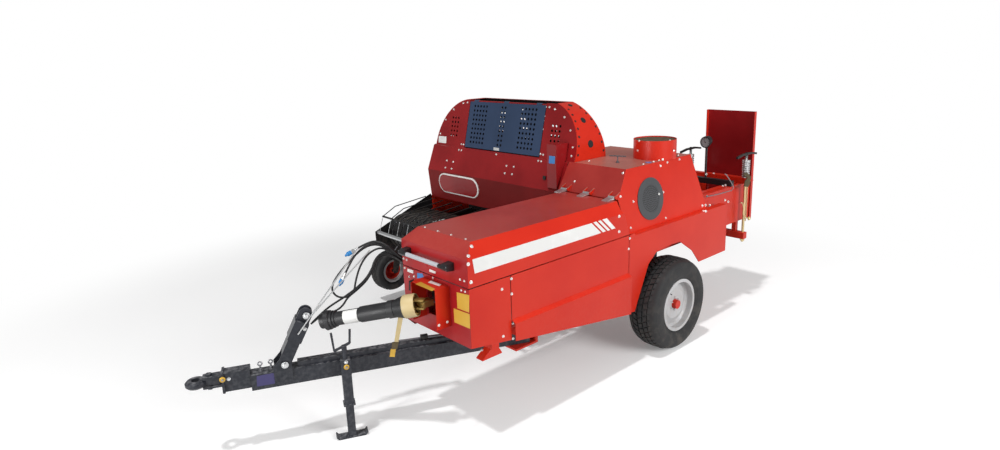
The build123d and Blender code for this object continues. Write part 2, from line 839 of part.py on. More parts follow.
joint_x = axle_x + driveline_joint_reach
joint_y = side_y - driveline_joint_inset
joint_z = driveline_joint_z
yoke_gap = 2.0
yoke_ear = 12.0
yoke_reach = 64.0
with BuildPart() as gearbox:
    with BuildSketch(Plane.YZ.offset(front_x - 560)):
        with Locations((joint_y, joint_z)):
            Rectangle(240, 280)
    extrude(amount=300)
    with BuildSketch(Plane.YZ.offset(front_x - 260)):
        with Locations((joint_y, joint_z)):
            Circle(95)
    extrude(amount=60)
    with BuildSketch(Plane.YZ.offset(front_x - 200)):
        with Locations((joint_y, joint_z)):
            Circle(220)
    extrude(amount=90)
    with BuildSketch(Plane.YZ.offset(front_x - 110)):
        with Locations((joint_y, joint_z)):
            Circle(shaft_radius)
    extrude(amount=joint_x - cross_block / 2 - front_x + 110)
    # Cross of the universal joint with its upright pin
    with BuildSketch(Plane.XY.offset(joint_z - cross_block / 2)):
        with Locations((joint_x, joint_y)):
            Rectangle(cross_block, cross_block)
    extrude(amount=cross_block)
    with BuildSketch(Plane.XY.offset(joint_z - cross_pin_length / 2)):
        with Locations((joint_x, joint_y)):
            Circle(cross_pin_radius)
    extrude(amount=cross_pin_length)
    # Its level pin and the shaft's yoke
    with BuildSketch(Plane.XZ.offset(-(joint_y + cross_pin_length / 2))):
        with Locations((joint_x, joint_z)):
            Circle(cross_pin_radius)
    extrude(amount=cross_pin_length)
    for ear_y in (joint_y + cross_block / 2 + yoke_gap + yoke_ear, joint_y - cross_block / 2 - yoke_gap):
        with BuildSketch(Plane.XZ.offset(-ear_y)):
            with Locations((joint_x, joint_z)):
                Circle(cross_block / 2)
            with Locations((joint_x - yoke_reach / 2, joint_z)):
                Rectangle(yoke_reach, cross_block)
        extrude(amount=yoke_ear)
    with BuildSketch(Plane.YZ.offset(joint_x - yoke_reach)):
        with Locations((joint_y, joint_z)):
            Rectangle(cross_block + 2 * yoke_gap + 2 * yoke_ear, cross_block)
    extrude(amount=yoke_ear)
    with BuildSketch(Plane.XY.offset(rail_top_z)):
        with Locations((front_x - 410, channel_mid_y)):
            Rectangle(200, rail_left_y - rail_right_y + rail_width)
    extrude(amount=joint_z - 140 - rail_top_z)
save(gearbox.part, "gearbox")

# Lid over the plunger, hinged at its rear edge


def lid_block(inset):
    """Outer form of the lid, or its inside at a sheet's inset."""
    left = side_y - inset
    right = cover_right_y + inset
    lean = deck_inset
    top = deck_z - inset
    fold = fold_z - inset * 0.5
    front = front_x - inset
    with BuildPart(mode=Mode.PRIVATE) as block:
        with BuildSketch(Plane.YZ.offset(axle_x + 480)):
            with BuildLine():
                Polyline(
                    (left, lid_seam_z),
                    (left, fold),
                    (left - lean, top),
                    (right + lean, top),
                    (right, fold),
                    (right, lid_seam_z),
                    close=True,
                )
            make_face()
        extrude(amount=front - axle_x - 480)
        with BuildSketch(Plane.XZ.offset(-(left + 5))):
            with BuildLine():
                Polyline(
                    (front + 5, fold - 4.5),
                    (front, fold),
                    (front - deck_setback, top),
                    (front - deck_setback - 4.5, top + 5),
                    (front + 5, top + 5),
                    close=True,
                )
            make_face()
        extrude(amount=left - right + 10, mode=Mode.SUBTRACT)
    return block.part


lid_rear_low_reach = 503.0
lid_rear_high_reach = 586.0
lid_rear_high_z = 1241.0
lid_deck_rear_reach = 566.0
with BuildPart() as plunger_lid:
    add(lid_block(0.0))
    add(lid_block(sheet), mode=Mode.SUBTRACT)
    with BuildSketch(Plane.XZ.offset(-(side_y + 5))):
        with BuildLine():
            Polyline(
                (axle_x + lid_rear_low_reach, lid_seam_z - 5),
                (axle_x + lid_rear_high_reach, lid_rear_high_z),
                (axle_x + lid_deck_rear_reach, deck_z + 5),
                (axle_x + 400, deck_z + 5),
                (axle_x + 400, lid_seam_z - 5),
                close=True,
            )
        make_face()
    extrude(amount=cover_width + 10, mode=Mode.SUBTRACT)
save(plunger_lid.part, "plunger_lid")

handle_z = 1150.0
handle_left_y = side_y - 123.0
handle_right_y = side_y - 622.0
handle_standoff = 52.0
handle_radius = 14.0
with BuildPart() as lid_handle:
    with BuildSketch(Plane.XZ.offset(-handle_left_y)):
        with Locations((front_x + handle_standoff, handle_z)):
            Circle(handle_radius)
    extrude(amount=handle_left_y - handle_right_y)
    for clamp_y in (handle_left_y - 30, handle_right_y + 30):
        with BuildSketch(Plane.XZ.offset(-(clamp_y + 26))):
            with BuildLine():
                Polyline(
                    (front_x, handle_z - 26),
                    (front_x, handle_z + 26),
                    (front_x + handle_standoff, handle_z + 20),
                    (front_x + handle_standoff + 18, handle_z),
                    (front_x + handle_standoff, handle_z - 20),
                    close=True,
                )
            make_face()
        extrude(amount=52)
save(lid_handle.part, "lid_handle")

# Hinges: a leaf on the lid with its barrel, and two ears on the housing

with BuildPart() as lid_hinges:
    for hinge_y in hinge_ys:
        with BuildSketch(Plane.XZ.offset(-(hinge_y + hinge_leaf / 2))):
            with BuildLine():
                Polyline(
                    (hinge_x, deck_z + 4),
                    (axle_x + lid_deck_rear_reach + 70, deck_z),
                    (axle_x + lid_deck_rear_reach + 70, deck_z + 5),
                    (hinge_x, deck_z + 19),
                    close=True,
                )
            make_face()
            with Locations((hinge_x, hinge_z)):
                Circle(hinge_pin_radius + 6)
                Circle(hinge_pin_radius, mode=Mode.SUBTRACT)
        extrude(amount=hinge_leaf)
save(lid_hinges.part, "lid_hinges")

# Knotter housing behind the lid

slope_foot_x = axle_x + 532
slope_foot_z = 1290.0
slope_head_x = axle_x + 404
housing_rear_top_x = axle_x - 460
housing_rear_foot_x = axle_x - 637


def housing_block(inset):
    """Outer form of the knotter housing, or its inside at a sheet's inset."""
    left = side_y - housing_out
    top = housing_top_z - inset
    with BuildPart(mode=Mode.PRIVATE) as block:
        with BuildSketch(Plane.XZ.offset(-left)):
            with BuildLine():
                Polyline(
                    (housing_rear_foot_x + inset, housing_bottom_z),
                    (housing_rear_top_x + inset, top),
                    (slope_head_x - inset, top),
                    (slope_foot_x - inset, slope_foot_z),
                    (axle_x + 470 - inset, lid_seam_z + 20),
                    (axle_x + 436 - inset, housing_bottom_z),
                    close=True,
                )
            make_face()
        extrude(amount=left - feeder_left_y - inset)
        # Behind the feeder the housing is wider
        with BuildSketch(Plane.XZ.offset(-(feeder_left_y + 10))):
            with BuildLine():
                Polyline(
                    (housing_rear_foot_x + inset, housing_bottom_z),
                    (housing_rear_top_x + inset, top),
                    (feeder_rear_x - inset, top),
                    (feeder_rear_x - inset, housing_bottom_z),
                    close=True,
                )
            make_face()
        extrude(amount=feeder_left_y + 10 - housing_right_y - inset)
        with BuildSketch(Plane.YZ.offset(housing_rear_foot_x - 5)):
            with BuildLine():
                Polyline(
                    (left - inset, housing_bottom_z - 10),
                    (left - inset - housing_lean, top + 10),
                    (left + 10, top + 10),
                    (left + 10, housing_bottom_z - 10),
                    close=True,
                )
            make_face()
        extrude(amount=slope_foot_x - housing_rear_foot_x + 10, mode=Mode.SUBTRACT)
    return block.part


with BuildPart() as knotter_housing:
    add(housing_block(0.0))
    add(housing_block(sheet), mode=Mode.SUBTRACT)
    # The bale's way out behind and the plunger's way in ahead stay open
    opening_top_z = channel_top_z + 30
    with BuildSketch(Plane.YZ.offset(housing_rear_foot_x - 20)):
        with Locations((channel_mid_y, (housing_bottom_z + opening_top_z) / 2 - 20)):
            Rectangle(
                chamber_left_out - chamber_right_out + 2 * chamber_flange + 24,
                opening_top_z - housing_bottom_z + 40,
            )
    extrude(amount=slope_foot_x - housing_rear_foot_x + 40, mode=Mode.SUBTRACT)
    # So does the feeder's way in on the right
    with BuildSketch(Plane.XZ.offset(-(feeder_left_y + 20))):
        with Locations(((feeder_rear_x + slope_foot_x) / 2, (housing_bottom_z + opening_top_z) / 2 - 20)):
            Rectangle(slope_foot_x - feeder_rear_x, opening_top_z - housing_bottom_z + 40)
    extrude(amount=20 + sheet, mode=Mode.SUBTRACT)
    # Ears and pins of the lid's hinges
    ear_share = 0.25  # ears' height on the sloping sheet
    ear_head_x = slope_foot_x + ear_share * (slope_head_x - slope_foot_x)
    ear_head_z = slope_foot_z + ear_share * (housing_top_z - slope_foot_z)
    for hinge_y in hinge_ys:
        for ear_y in (hinge_y + hinge_leaf / 2 + 1, hinge_y - hinge_leaf / 2 - 9):
            with BuildSketch(Plane.XZ.offset(-(ear_y + 8))):
                with BuildLine():
                    Polyline(
                        (slope_foot_x, slope_foot_z),
                        (hinge_x, hinge_z - 10),
                        (hinge_x + 4, hinge_z + 10),
                        (hinge_x - 8, hinge_z + 14),
                        (ear_head_x, ear_head_z),
                        close=True,
                    )
                make_face()
            extrude(amount=8)
        with BuildSketch(Plane.XZ.offset(-(hinge_y + hinge_leaf / 2 + 9))):
            with Locations((hinge_x, hinge_z)):
                Circle(hinge_pin_radius - shaft_gap)
        extrude(amount=hinge_leaf + 18)
save(knotter_housing.part, "knotter_housing")

# Side grille on the housing and cowl on its top


def lean_y(z):
    """Place of the housing's leaning left face at a height."""
    share = (z - housing_bottom_z + 10) / (housing_top_z - housing_bottom_z + 20)
    return side_y - housing_out - housing_lean * share


lean_angle = math.degrees(math.atan2(housing_lean, housing_top_z - housing_bottom_z + 20))
grille_plane = Plane(
    origin=(axle_x + grille_reach, lean_y(grille_z), grille_z),
    x_dir=(1, 0, 0),
    z_dir=(0, math.cos(math.radians(lean_angle)), math.sin(math.radians(lean_angle))),
)
with BuildPart() as side_grille:
    with BuildSketch(grille_plane):
        Circle(grille_radius)
        Circle(grille_field * 1.04, mode=Mode.SUBTRACT)
    extrude(amount=grille_thickness)
    with BuildSketch(grille_plane.offset(1)):
        Circle(grille_field * 1.06)
        for ring in range(1, grille_rings + 1):
            with PolarLocations(grille_field * ring / (grille_rings + 0.5), 6 * ring):
                RegularPolygon(grille_hole_radius, 5, mode=Mode.SUBTRACT)
        RegularPolygon(grille_hole_radius, 5, mode=Mode.SUBTRACT)
    extrude(amount=2)
save(side_grille.part, "side_grille")

with BuildPart() as fan_cowl:
    with BuildSketch(Plane.XY.offset(housing_top_z)):
        with Locations((axle_x + cowl_reach, side_y - cowl_inset)):
            Circle(cowl_radius)
            Circle(cowl_radius - sheet, mode=Mode.SUBTRACT)
    extrude(amount=cowl_height)
    with BuildSketch(Plane.XY.offset(housing_top_z + cowl_height - 12)):
        with Locations((axle_x + cowl_reach, side_y - cowl_inset)):
            Circle(cowl_radius - sheet / 2)
    extrude(amount=4)
save(fan_cowl.part, "fan_cowl")

# Feeder housing: floor, rear sheet, right end and front sheet

feeder_floor_z = chamber_floor_z
feeder_head_x = axle_x + feeder_head_reach
hood_front_x = axle_x + hood_front_reach
feeder_inner_y = chamber_right_out
with BuildPart() as feeder_floor:
    with BuildSketch(Plane.XZ.offset(-(feeder_inner_y))):
        with BuildLine():
            Polyline(
                (feeder_rear_x, housing_top_z),
                (feeder_rear_x, feeder_floor_z - sheet),
                (axle_x + feeder_floor_front_reach, feeder_floor_z - sheet),
                (axle_x + feeder_floor_front_reach, feeder_floor_z),
                (feeder_rear_x + sheet, feeder_floor_z),
                (feeder_rear_x + sheet, housing_top_z),
                close=True,
            )
        make_face()
    extrude(amount=feeder_inner_y - feeder_right_y - sheet)
    # Inside the knotter housing the rear sheet is lower
    with BuildSketch(Plane.XZ.offset(-(feeder_inner_y + 5))):
        with Locations((feeder_rear_x, housing_top_z)):
            Rectangle(20, 2 * (housing_top_z - opening_top_z))
    extrude(amount=feeder_inner_y + 5 - feeder_left_y, mode=Mode.SUBTRACT)
save(feeder_floor.part, "feeder_floor")

post_front_x = axle_x + 520
post_top_z = 1643.0
with BuildPart() as feeder_front:
    with BuildSketch(Plane.XZ.offset(-feeder_left_y)):
        with BuildLine():
            Polyline(
                (axle_x + feeder_lip_reach, feeder_lip_z),
                (axle_x + feeder_crease_reach, feeder_crease_z),
                (feeder_head_x, feeder_head_z),
                (hood_front_x, housing_top_z),
                (hood_front_x - sheet, housing_top_z),
                (feeder_head_x - sheet, feeder_head_z - 2),
                (axle_x + feeder_crease_reach - sheet, feeder_crease_z - 1),
                (axle_x + feeder_lip_reach - sheet, feeder_lip_z),
                close=True,
            )
        make_face()
    extrude(amount=feeder_left_y - feeder_right_y - sheet)
    # Post at its left end
    with BuildSketch(Plane.XZ.offset(-(side_y - 713))):
        with BuildLine():
            Polyline(
                (axle_x + feeder_crease_reach, feeder_crease_z + 10),
                (post_front_x, feeder_crease_z + 30),
                (post_front_x, post_top_z),
                (axle_x + 376, post_top_z),
                (hood_front_x, housing_top_z + 6),
                (feeder_head_x, feeder_head_z),
                close=True,
            )
        make_face()
        with BuildLine():
            Polyline(
                (axle_x + feeder_crease_reach + 1, feeder_crease_z + 10),
                (axle_x + feeder_crease_reach - 60, feeder_crease_z + 10),
                (feeder_head_x - 60, feeder_head_z),
                (hood_front_x - 60, housing_top_z + 40),
                (axle_x + 300, post_top_z + 17),
                (axle_x + 370, post_top_z + 17),
                (hood_front_x + 0.5, housing_top_z),
                (feeder_head_x + 0.5, feeder_head_z),
                close=True,
            )
        make_face(mode=Mode.SUBTRACT)
    extrude(amount=100)
save(feeder_front.part, "feeder_front")

with BuildPart() as feeder_end:
    with BuildSketch(Plane.XZ.offset(-(feeder_right_y + sheet))):
        with BuildLine():
            Polyline(
                (feeder_rear_x, housing_top_z),
                (feeder_rear_x, feeder_floor_z - 40),
                (axle_x + feeder_floor_front_reach, feeder_floor_z - 40),
                (axle_x + feeder_lip_reach, feeder_lip_z),
                (axle_x + feeder_crease_reach, feeder_crease_z),
                (feeder_head_x, feeder_head_z),
                (hood_front_x, housing_top_z),
                close=True,
            )
        make_face()
    extrude(amount=sheet)
    # Ear and pin that carry the pickup's right side
    with BuildSketch(Plane.XZ.offset(-feeder_right_y)):
        with BuildLine():
            Polyline(
                (axle_x + feeder_floor_front_reach - 60, pickup_pivot_z - 75),
                (axle_x + pickup_pivot_reach + 10, pickup_pivot_z - 28),
                (axle_x + pickup_pivot_reach + 28, pickup_pivot_z),
                (axle_x + pickup_pivot_reach + 10, pickup_pivot_z + 28),
                (axle_x + feeder_floor_front_reach - 60, pickup_pivot_z + 75),
                close=True,
            )
        make_face()
    extrude(amount=5)
    with BuildSketch(Plane.XZ.offset(-(feeder_right_y - 5))):
        with Locations((axle_x + pickup_pivot_reach, pickup_pivot_z)):
            Circle(pickup_pin_radius)
    extrude(amount=20)
save(feeder_end.part, "feeder_end")

# Hood over the feeder, a round-ended hoop with a leaning front

hole_pitch = 42.0
hole_radius = 12.5
hole_sides = 6
hole_pin = 24.0  # length of the cutting pins
hole_row_z = (1556.0 + 1885.0) / 2  # middle row of the perforated fields
end_row_z = (1601.0 + 1764.0) / 2
door_fields = [
    # middle of the field across the machine, columns, rows
    (side_y - 1212.0, 5, 9),
    (side_y - 1535.0, 2, 9),
    (side_y - 1850.0, 5, 9),
]
end_fields = [
    # middle of the field across the machine, columns, rows
    (side_y - 872.0, 3, 5),
    (side_y - 2196.0, 3, 5),
]
band_angles = [-3.0, 7.5, 17.5, 27.5, 37.2, 46.5, 56.0]  # small holes round each end
band_big_angles = [7.5, 37.2, 64.0]  # large holes between the two rows
band_hole_radius = 8.0
band_big_radius = 24.0
band_hole_inset = 24.0  # small holes from the band's edges

lean_x_per_z = (hood_front_reach - hood_lean_reach) / (hood_top_z - housing_top_z)


def hood_front(z):
    """Place of the hood's leaning front face at a height."""
    return axle_x + hood_front_reach - lean_x_per_z * (z - housing_top_z)


def hood_back(z):
    """Place of the hood's leaning back at a height."""
    return feeder_rear_x + lean_x_per_z * (z - housing_top_z)


def lean_plane(y, z):
    """Plane on the hood's leaning front, its X to the right and its Y up the slope."""
    up_dir = Vector(-lean_x_per_z, 0, 1).normalized()
    return Plane(origin=(hood_front(z), y, z), x_dir=(0, -1, 0), z_dir=Vector(0, -1, 0).cross(up_dir))


def field_pins(fields, row_z):
    """Pins that cut perforated fields through the leaning front sheet."""
    with BuildPart(mode=Mode.PRIVATE) as pins:
        for field_y, columns, rows in fields:
            with BuildSketch(lean_plane(field_y, row_z).offset(hole_pin / 2)):
                with GridLocations(hole_pitch, hole_pitch, columns, rows):
                    RegularPolygon(hole_radius, hole_sides)
            extrude(amount=-hole_pin)
    return pins.part


def hood_outline(inset):
    """Front outline of the hood, drawn in the YZ plane."""
    left = hood_left_y - inset
    right = hood_right_y + inset
    top = hood_top_z - inset
    foot = housing_top_z
    turn = math.sqrt(0.5)
    left_run = hood_left_shoulder - inset
    right_run = hood_right_shoulder - inset
    rise = top - foot
    Line((right, foot), (left, foot))
    ThreePointArc(
        (left, foot),
        (left - left_run * (1 - turn), foot + rise * turn),
        (left - left_run, top),
    )
    Line((left - left_run, top), (right + right_run, top))
    ThreePointArc(
        (right + right_run, top),
        (right + right_run * (1 - turn), foot + rise * turn),
        (right, foot),
    )


def hood_block(inset):
    """Solid hood form at a sheet's inset, with its leaning front."""
    with BuildPart(mode=Mode.PRIVATE) as block:
        with BuildSketch(Plane.YZ.offset(feeder_rear_x)):
            with BuildLine():
                hood_outline(inset)
            make_face()
        extrude(amount=hood_front_reach)
        with BuildSketch(Plane.XZ.offset(-(hood_left_y + 10))):
            with BuildLine():
                Polyline(
                    (hood_front(housing_top_z), housing_top_z),
                    (hood_front(hood_top_z + 40), hood_top_z + 40),
                    (hood_front_x + 60, hood_top_z + 40),
                    (hood_front_x + 60, housing_top_z),
                    close=True,
                )
            make_face()
        extrude(amount=hood_left_y - hood_right_y + 20, mode=Mode.SUBTRACT)
        # Its back leans in as much as its front
        with BuildSketch(Plane.XZ.offset(-(hood_left_y + 10))):
            with BuildLine():
                Polyline(
                    (hood_back(housing_top_z), housing_top_z),
                    (hood_back(hood_top_z + 40), hood_top_z + 40),
                    (feeder_rear_x - 20, hood_top_z + 40),
                    (feeder_rear_x - 20, housing_top_z),
                    close=True,
                )
            make_face()
        extrude(amount=hood_left_y - hood_right_y + 20, mode=Mode.SUBTRACT)
    return block.part


def end_arc(foot_y, run, side):
    """Centre, radius and side of the arc at one round end of the hood."""
    turn = math.sqrt(0.5)
    rise = hood_top_z - housing_top_z
    points = [
        (foot_y, housing_top_z),
        (foot_y - side * run * (1 - turn), housing_top_z + rise * turn),
        (foot_y - side * run, hood_top_z),
    ]
    arc = ThreePointArc(*points, mode=Mode.PRIVATE)
    centre = arc.arc_center
    return centre.X, centre.Y, arc.radius, side


def back_sheet():
    """Back sheet of the hood with its perforated fields."""
    with BuildPart(mode=Mode.PRIVATE) as back:
        with BuildSketch(Plane.YZ.offset(feeder_rear_x - 20)):
            with BuildLine():
                hood_outline(sheet / 2)
            make_face()
        extrude(amount=hood_front_reach)
        with BuildSketch(Plane.XZ.offset(-(hood_left_y + 10))):
            with BuildLine():
                Polyline(
                    (hood_back(housing_top_z), housing_top_z),
                    (hood_back(hood_top_z), hood_top_z),
                    (hood_back(hood_top_z) + sheet, hood_top_z),
                    (hood_back(housing_top_z) + sheet, housing_top_z),
                    close=True,
                )
            make_face()
        extrude(amount=hood_left_y - hood_right_y + 20, mode=Mode.INTERSECT)
        for field_y, columns, rows in door_fields:
            with BuildSketch(Plane.YZ.offset(feeder_rear_x)):
                with Locations((field_y, hole_row_z)):
                    with GridLocations(hole_pitch, hole_pitch, columns, rows):
                        RegularPolygon(hole_radius, 4)
            extrude(amount=hood_front_reach / 2, mode=Mode.SUBTRACT)
    return back.part


left_arc = end_arc(hood_left_y, hood_left_shoulder, 1)
right_arc = end_arc(hood_right_y, hood_right_shoulder, -1)
door_hinge_z = hood_top_z - 20
door_hinge_x = hood_front(door_hinge_z) - 14
top_left_y = hood_left_y - hood_left_shoulder
top_right_y = hood_right_y + hood_right_shoulder
with BuildPart() as hood_band:
    add(hood_block(0.0))
    with BuildSketch(Plane.YZ.offset(feeder_rear_x - 10)):
        with BuildLine():
            hood_outline(sheet)
        make_face()
    extrude(amount=hood_front_reach + 20, mode=Mode.SUBTRACT)
    # The top stays open between the two round ends
    with BuildSketch(Plane.YZ.offset(hood_back(hood_top_z) + 30)):
        with Locations(((top_left_y + top_right_y) / 2, hood_top_z)):
            Rectangle(top_left_y - top_right_y - 10, 60)
    extrude(amount=hood_front_reach, mode=Mode.SUBTRACT)
    # Holes round both ends: two rows of small ones and three large ones between
    for centre_y, centre_z, arc_radius, side in (left_arc, right_arc):
        for angle in band_angles:
            turn = math.radians(angle)
            rim_y = centre_y + side * arc_radius * math.cos(turn)
            rim_z = centre_z + arc_radius * math.sin(turn)
            outward = Vector(0, side * math.cos(turn), math.sin(turn))
            for row_x in (hood_front(rim_z) - band_hole_inset, hood_back(rim_z) + band_hole_inset):
                row_plane = Plane(origin=(row_x, rim_y, rim_z), x_dir=(1, 0, 0), z_dir=outward)
                with BuildSketch(row_plane.offset(hole_pin / 2)):
                    RegularPolygon(band_hole_radius, hole_sides)
                extrude(amount=-hole_pin, mode=Mode.SUBTRACT)
        for angle in band_big_angles:
            turn = math.radians(angle)
            rim_y = centre_y + side * arc_radius * math.cos(turn)
            rim_z = centre_z + arc_radius * math.sin(turn)
            outward = Vector(0, side * math.cos(turn), math.sin(turn))
            middle = (hood_front(rim_z) + hood_back(rim_z)) / 2
            middle_plane = Plane(origin=(middle, rim_y, rim_z), x_dir=(1, 0, 0), z_dir=outward)
            with BuildSketch(middle_plane.offset(hole_pin / 2)):
                Ellipse(band_big_radius, band_big_radius * 0.6)
            extrude(amount=-hole_pin, mode=Mode.SUBTRACT)
    # Leaning back sheet, perforated as the front is
    add(back_sheet())
save(hood_band.part, "hood_band")

with BuildPart() as hood_front_sheet:
    with BuildSketch(Plane.YZ.offset(axle_x)):
        with BuildLine():
            hood_outline(sheet)
        make_face()
        with Locations(((door_left_y + door_right_y) / 2, hood_top_z)):
            Rectangle(door_left_y - door_right_y, 2 * (hood_top_z - housing_top_z) + 200, mode=Mode.SUBTRACT)
    extrude(amount=hood_front_reach + 10)
    with BuildSketch(Plane.XZ.offset(-(hood_left_y + 10))):
        with BuildLine():
            Polyline(
                (hood_front(housing_top_z - 20), housing_top_z - 20),
                (hood_front(hood_top_z + 20), hood_top_z + 20),
                (hood_front(hood_top_z + 20) - sheet, hood_top_z + 20),
                (hood_front(housing_top_z - 20) - sheet, housing_top_z - 20),
                close=True,
            )
        make_face()
    extrude(amount=hood_left_y - hood_right_y + 20, mode=Mode.INTERSECT)
    add(field_pins(end_fields, end_row_z), mode=Mode.SUBTRACT)
    # Hinge rod of the door with its lugs
    with BuildSketch(Plane.XZ.offset(-(door_left_y + 30))):
        with Locations((door_hinge_x, door_hinge_z)):
            Circle(door_hinge_radius)
    extrude(amount=door_left_y - door_right_y + 60)
    for lug_y in (door_left_y + 30, door_right_y - 10):
        with BuildSketch(Plane.XZ.offset(-lug_y)):
            with BuildLine():
                Polyline(
                    (door_hinge_x, door_hinge_z - 8),
                    (hood_front(door_hinge_z - 8) - sheet, door_hinge_z - 8),
                    (hood_front(door_hinge_z + 8) - sheet, door_hinge_z + 8),
                    (door_hinge_x, door_hinge_z + 8),
                    close=True,
                )
            make_face()
        extrude(amount=20)
save(hood_front_sheet.part, "hood_front_sheet")

with BuildPart() as hood_door:
    with BuildSketch(Plane.XZ.offset(-(door_left_y - swing_gap))):
        with BuildLine():
            foot_gap = housing_top_z + 8
            top_end = door_hinge_z - 2
            Polyline(
                (hood_front(foot_gap), foot_gap),
                (hood_front(top_end), top_end),
                (hood_front(top_end) - sheet, top_end),
                (hood_front(foot_gap) - sheet, foot_gap),
                close=True,
            )
        make_face()
    extrude(amount=door_left_y - door_right_y - 2 * swing_gap)
    add(field_pins(door_fields, hole_row_z), mode=Mode.SUBTRACT)
    for knuckle_y in (door_left_y - 60, (door_left_y + door_right_y) / 2 + 30, door_right_y + 120):
        with BuildSketch(Plane.XZ.offset(-knuckle_y)):
            with Locations((door_hinge_x, door_hinge_z)):
                Circle(door_hinge_radius + 5)
                Circle(door_hinge_radius + seat_gap, mode=Mode.SUBTRACT)
        extrude(amount=60)
save(hood_door.part, "hood_door")

# Pickup: side plates with cross tubes, strippers, windguard and reel

reel_x = axle_x + reel_reach
pickup_pivot_x = axle_x + pickup_pivot_reach
tip_x = axle_x + 1157


def plate_outline(rear_reach):
    """Outline of a pickup side plate in the XZ plane."""
    Polyline(
        (tip_x, 741),
        (tip_x - 2, 650),
        (axle_x + 902, 465),
        (axle_x + 640, 470),
        (axle_x + rear_reach, 730),
        (axle_x + rear_reach, 960),
        (axle_x + rear_reach + 25, 1000),
        close=True,
    )


reel_shaft_radius = 16.0
low_tube = 60.0
top_tube = 40.0
pickup_plates = [
    # outer plane of the plate, rear end of the plate
    (pickup_left_y, 500.0),
    (pickup_right_y + pickup_plate, 464.0),
]
with BuildPart() as pickup_plate_pair:
    for plate_y, rear_reach in pickup_plates:
        with BuildSketch(Plane.XZ.offset(-plate_y)):
            with BuildLine():
                plate_outline(rear_reach)
            make_face()
            with Locations((pickup_pivot_x, pickup_pivot_z)):
                Circle(pickup_pin_radius + shaft_gap, mode=Mode.SUBTRACT)
            with Locations((reel_x, reel_z)):
                Circle(reel_shaft_radius + shaft_gap, mode=Mode.SUBTRACT)
        extrude(amount=pickup_plate)
    low_tube_z = reel_z - stripper_radius + stripper_sheet + low_tube / 2
    top_tube_z = reel_z + stripper_radius - stripper_sheet - top_tube / 2
    with BuildSketch(Plane.XZ.offset(-(pickup_left_y - pickup_plate))):
        with Locations((reel_x - 260, low_tube_z)):
            Rectangle(low_tube, low_tube)
        with Locations((reel_x - 275, top_tube_z)):
            Rectangle(top_tube, top_tube)
    extrude(amount=pickup_left_y - pickup_right_y - 2 * pickup_plate)
save(pickup_plate_pair.part, "pickup_frame")

stripper_count = math.floor((pickup_left_y - pickup_right_y - 2 * pickup_plate) / tine_pitch)
stripper_start_y = (pickup_left_y + pickup_right_y) / 2 + tine_pitch * (stripper_count - 1) / 2
with BuildPart() as strippers:
    for index in range(stripper_count):
        band_y = stripper_start_y - index * tine_pitch + stripper_width / 2
        with BuildSketch(Plane.XZ.offset(-band_y)):
            with BuildLine():
                inner = stripper_radius - stripper_sheet
                low_x = reel_x - 285
                top_x = axle_x + 560
                Line((low_x, reel_z - stripper_radius), (reel_x, reel_z - stripper_radius))
                ThreePointArc(
                    (reel_x, reel_z - stripper_radius),
                    (reel_x + stripper_radius, reel_z),
                    (reel_x, reel_z + stripper_radius),
                )
                Line((reel_x, reel_z + stripper_radius), (top_x, reel_z + stripper_radius))
                Line((top_x, reel_z + stripper_radius), (top_x, reel_z + inner))
                Line((top_x, reel_z + inner), (reel_x, reel_z + inner))
                ThreePointArc(
                    (reel_x, reel_z + inner),
                    (reel_x + inner, reel_z),
                    (reel_x, reel_z - inner),
                )
                Line((reel_x, reel_z - inner), (low_x, reel_z - inner))
                Line((low_x, reel_z - inner), (low_x, reel_z - stripper_radius))
            make_face()
        extrude(amount=stripper_width)
save(strippers.part, "strippers")

guard_rod = 7.0
guard_rod_pitch = 2 * tine_pitch
guard_bar_radius = 9.0
guard_rod_way = [
    # reach from the axle, height of the rods' way back over the reel
    (windguard_reach - 4, windguard_z + 4),
    (1075.0, windguard_z + 150),
    (930.0, windguard_z + 222),
    (565.0, windguard_z + 258),
]
with BuildPart() as windguard:
    with BuildSketch(Plane.XZ.offset(-(pickup_left_y - pickup_plate))):
        with Locations((axle_x + windguard_reach, windguard_z)):
            Circle(windguard_radius)
    extrude(amount=pickup_left_y - pickup_right_y - 2 * pickup_plate)
    rod_count = math.floor((pickup_left_y - pickup_right_y - 4 * pickup_plate) / guard_rod_pitch) + 1
    rod_start_y = (pickup_left_y + pickup_right_y) / 2 + guard_rod_pitch * (rod_count - 1) / 2
    # Thinner bar that ties the rods together
    with BuildSketch(Plane.XZ.offset(-rod_start_y)):
        with Locations((axle_x + guard_rod_way[1][0], guard_rod_way[1][1])):
            Circle(guard_bar_radius)
    extrude(amount=guard_rod_pitch * (rod_count - 1))
    for index in range(rod_count):
        rod_y = rod_start_y - index * guard_rod_pitch + guard_rod / 2
        with BuildSketch(Plane.XZ.offset(-rod_y)):
            with BuildLine():
                low_side = [(axle_x + reach, height - guard_rod / 2) for reach, height in guard_rod_way]
                half_rod = guard_rod / 2
                back_way = reversed(guard_rod_way)
                high_side = [(axle_x + reach, height + half_rod) for reach, height in back_way]
                Polyline(*low_side, *high_side, close=True)
            make_face()
        extrude(amount=guard_rod)
save(windguard.part, "windguard")

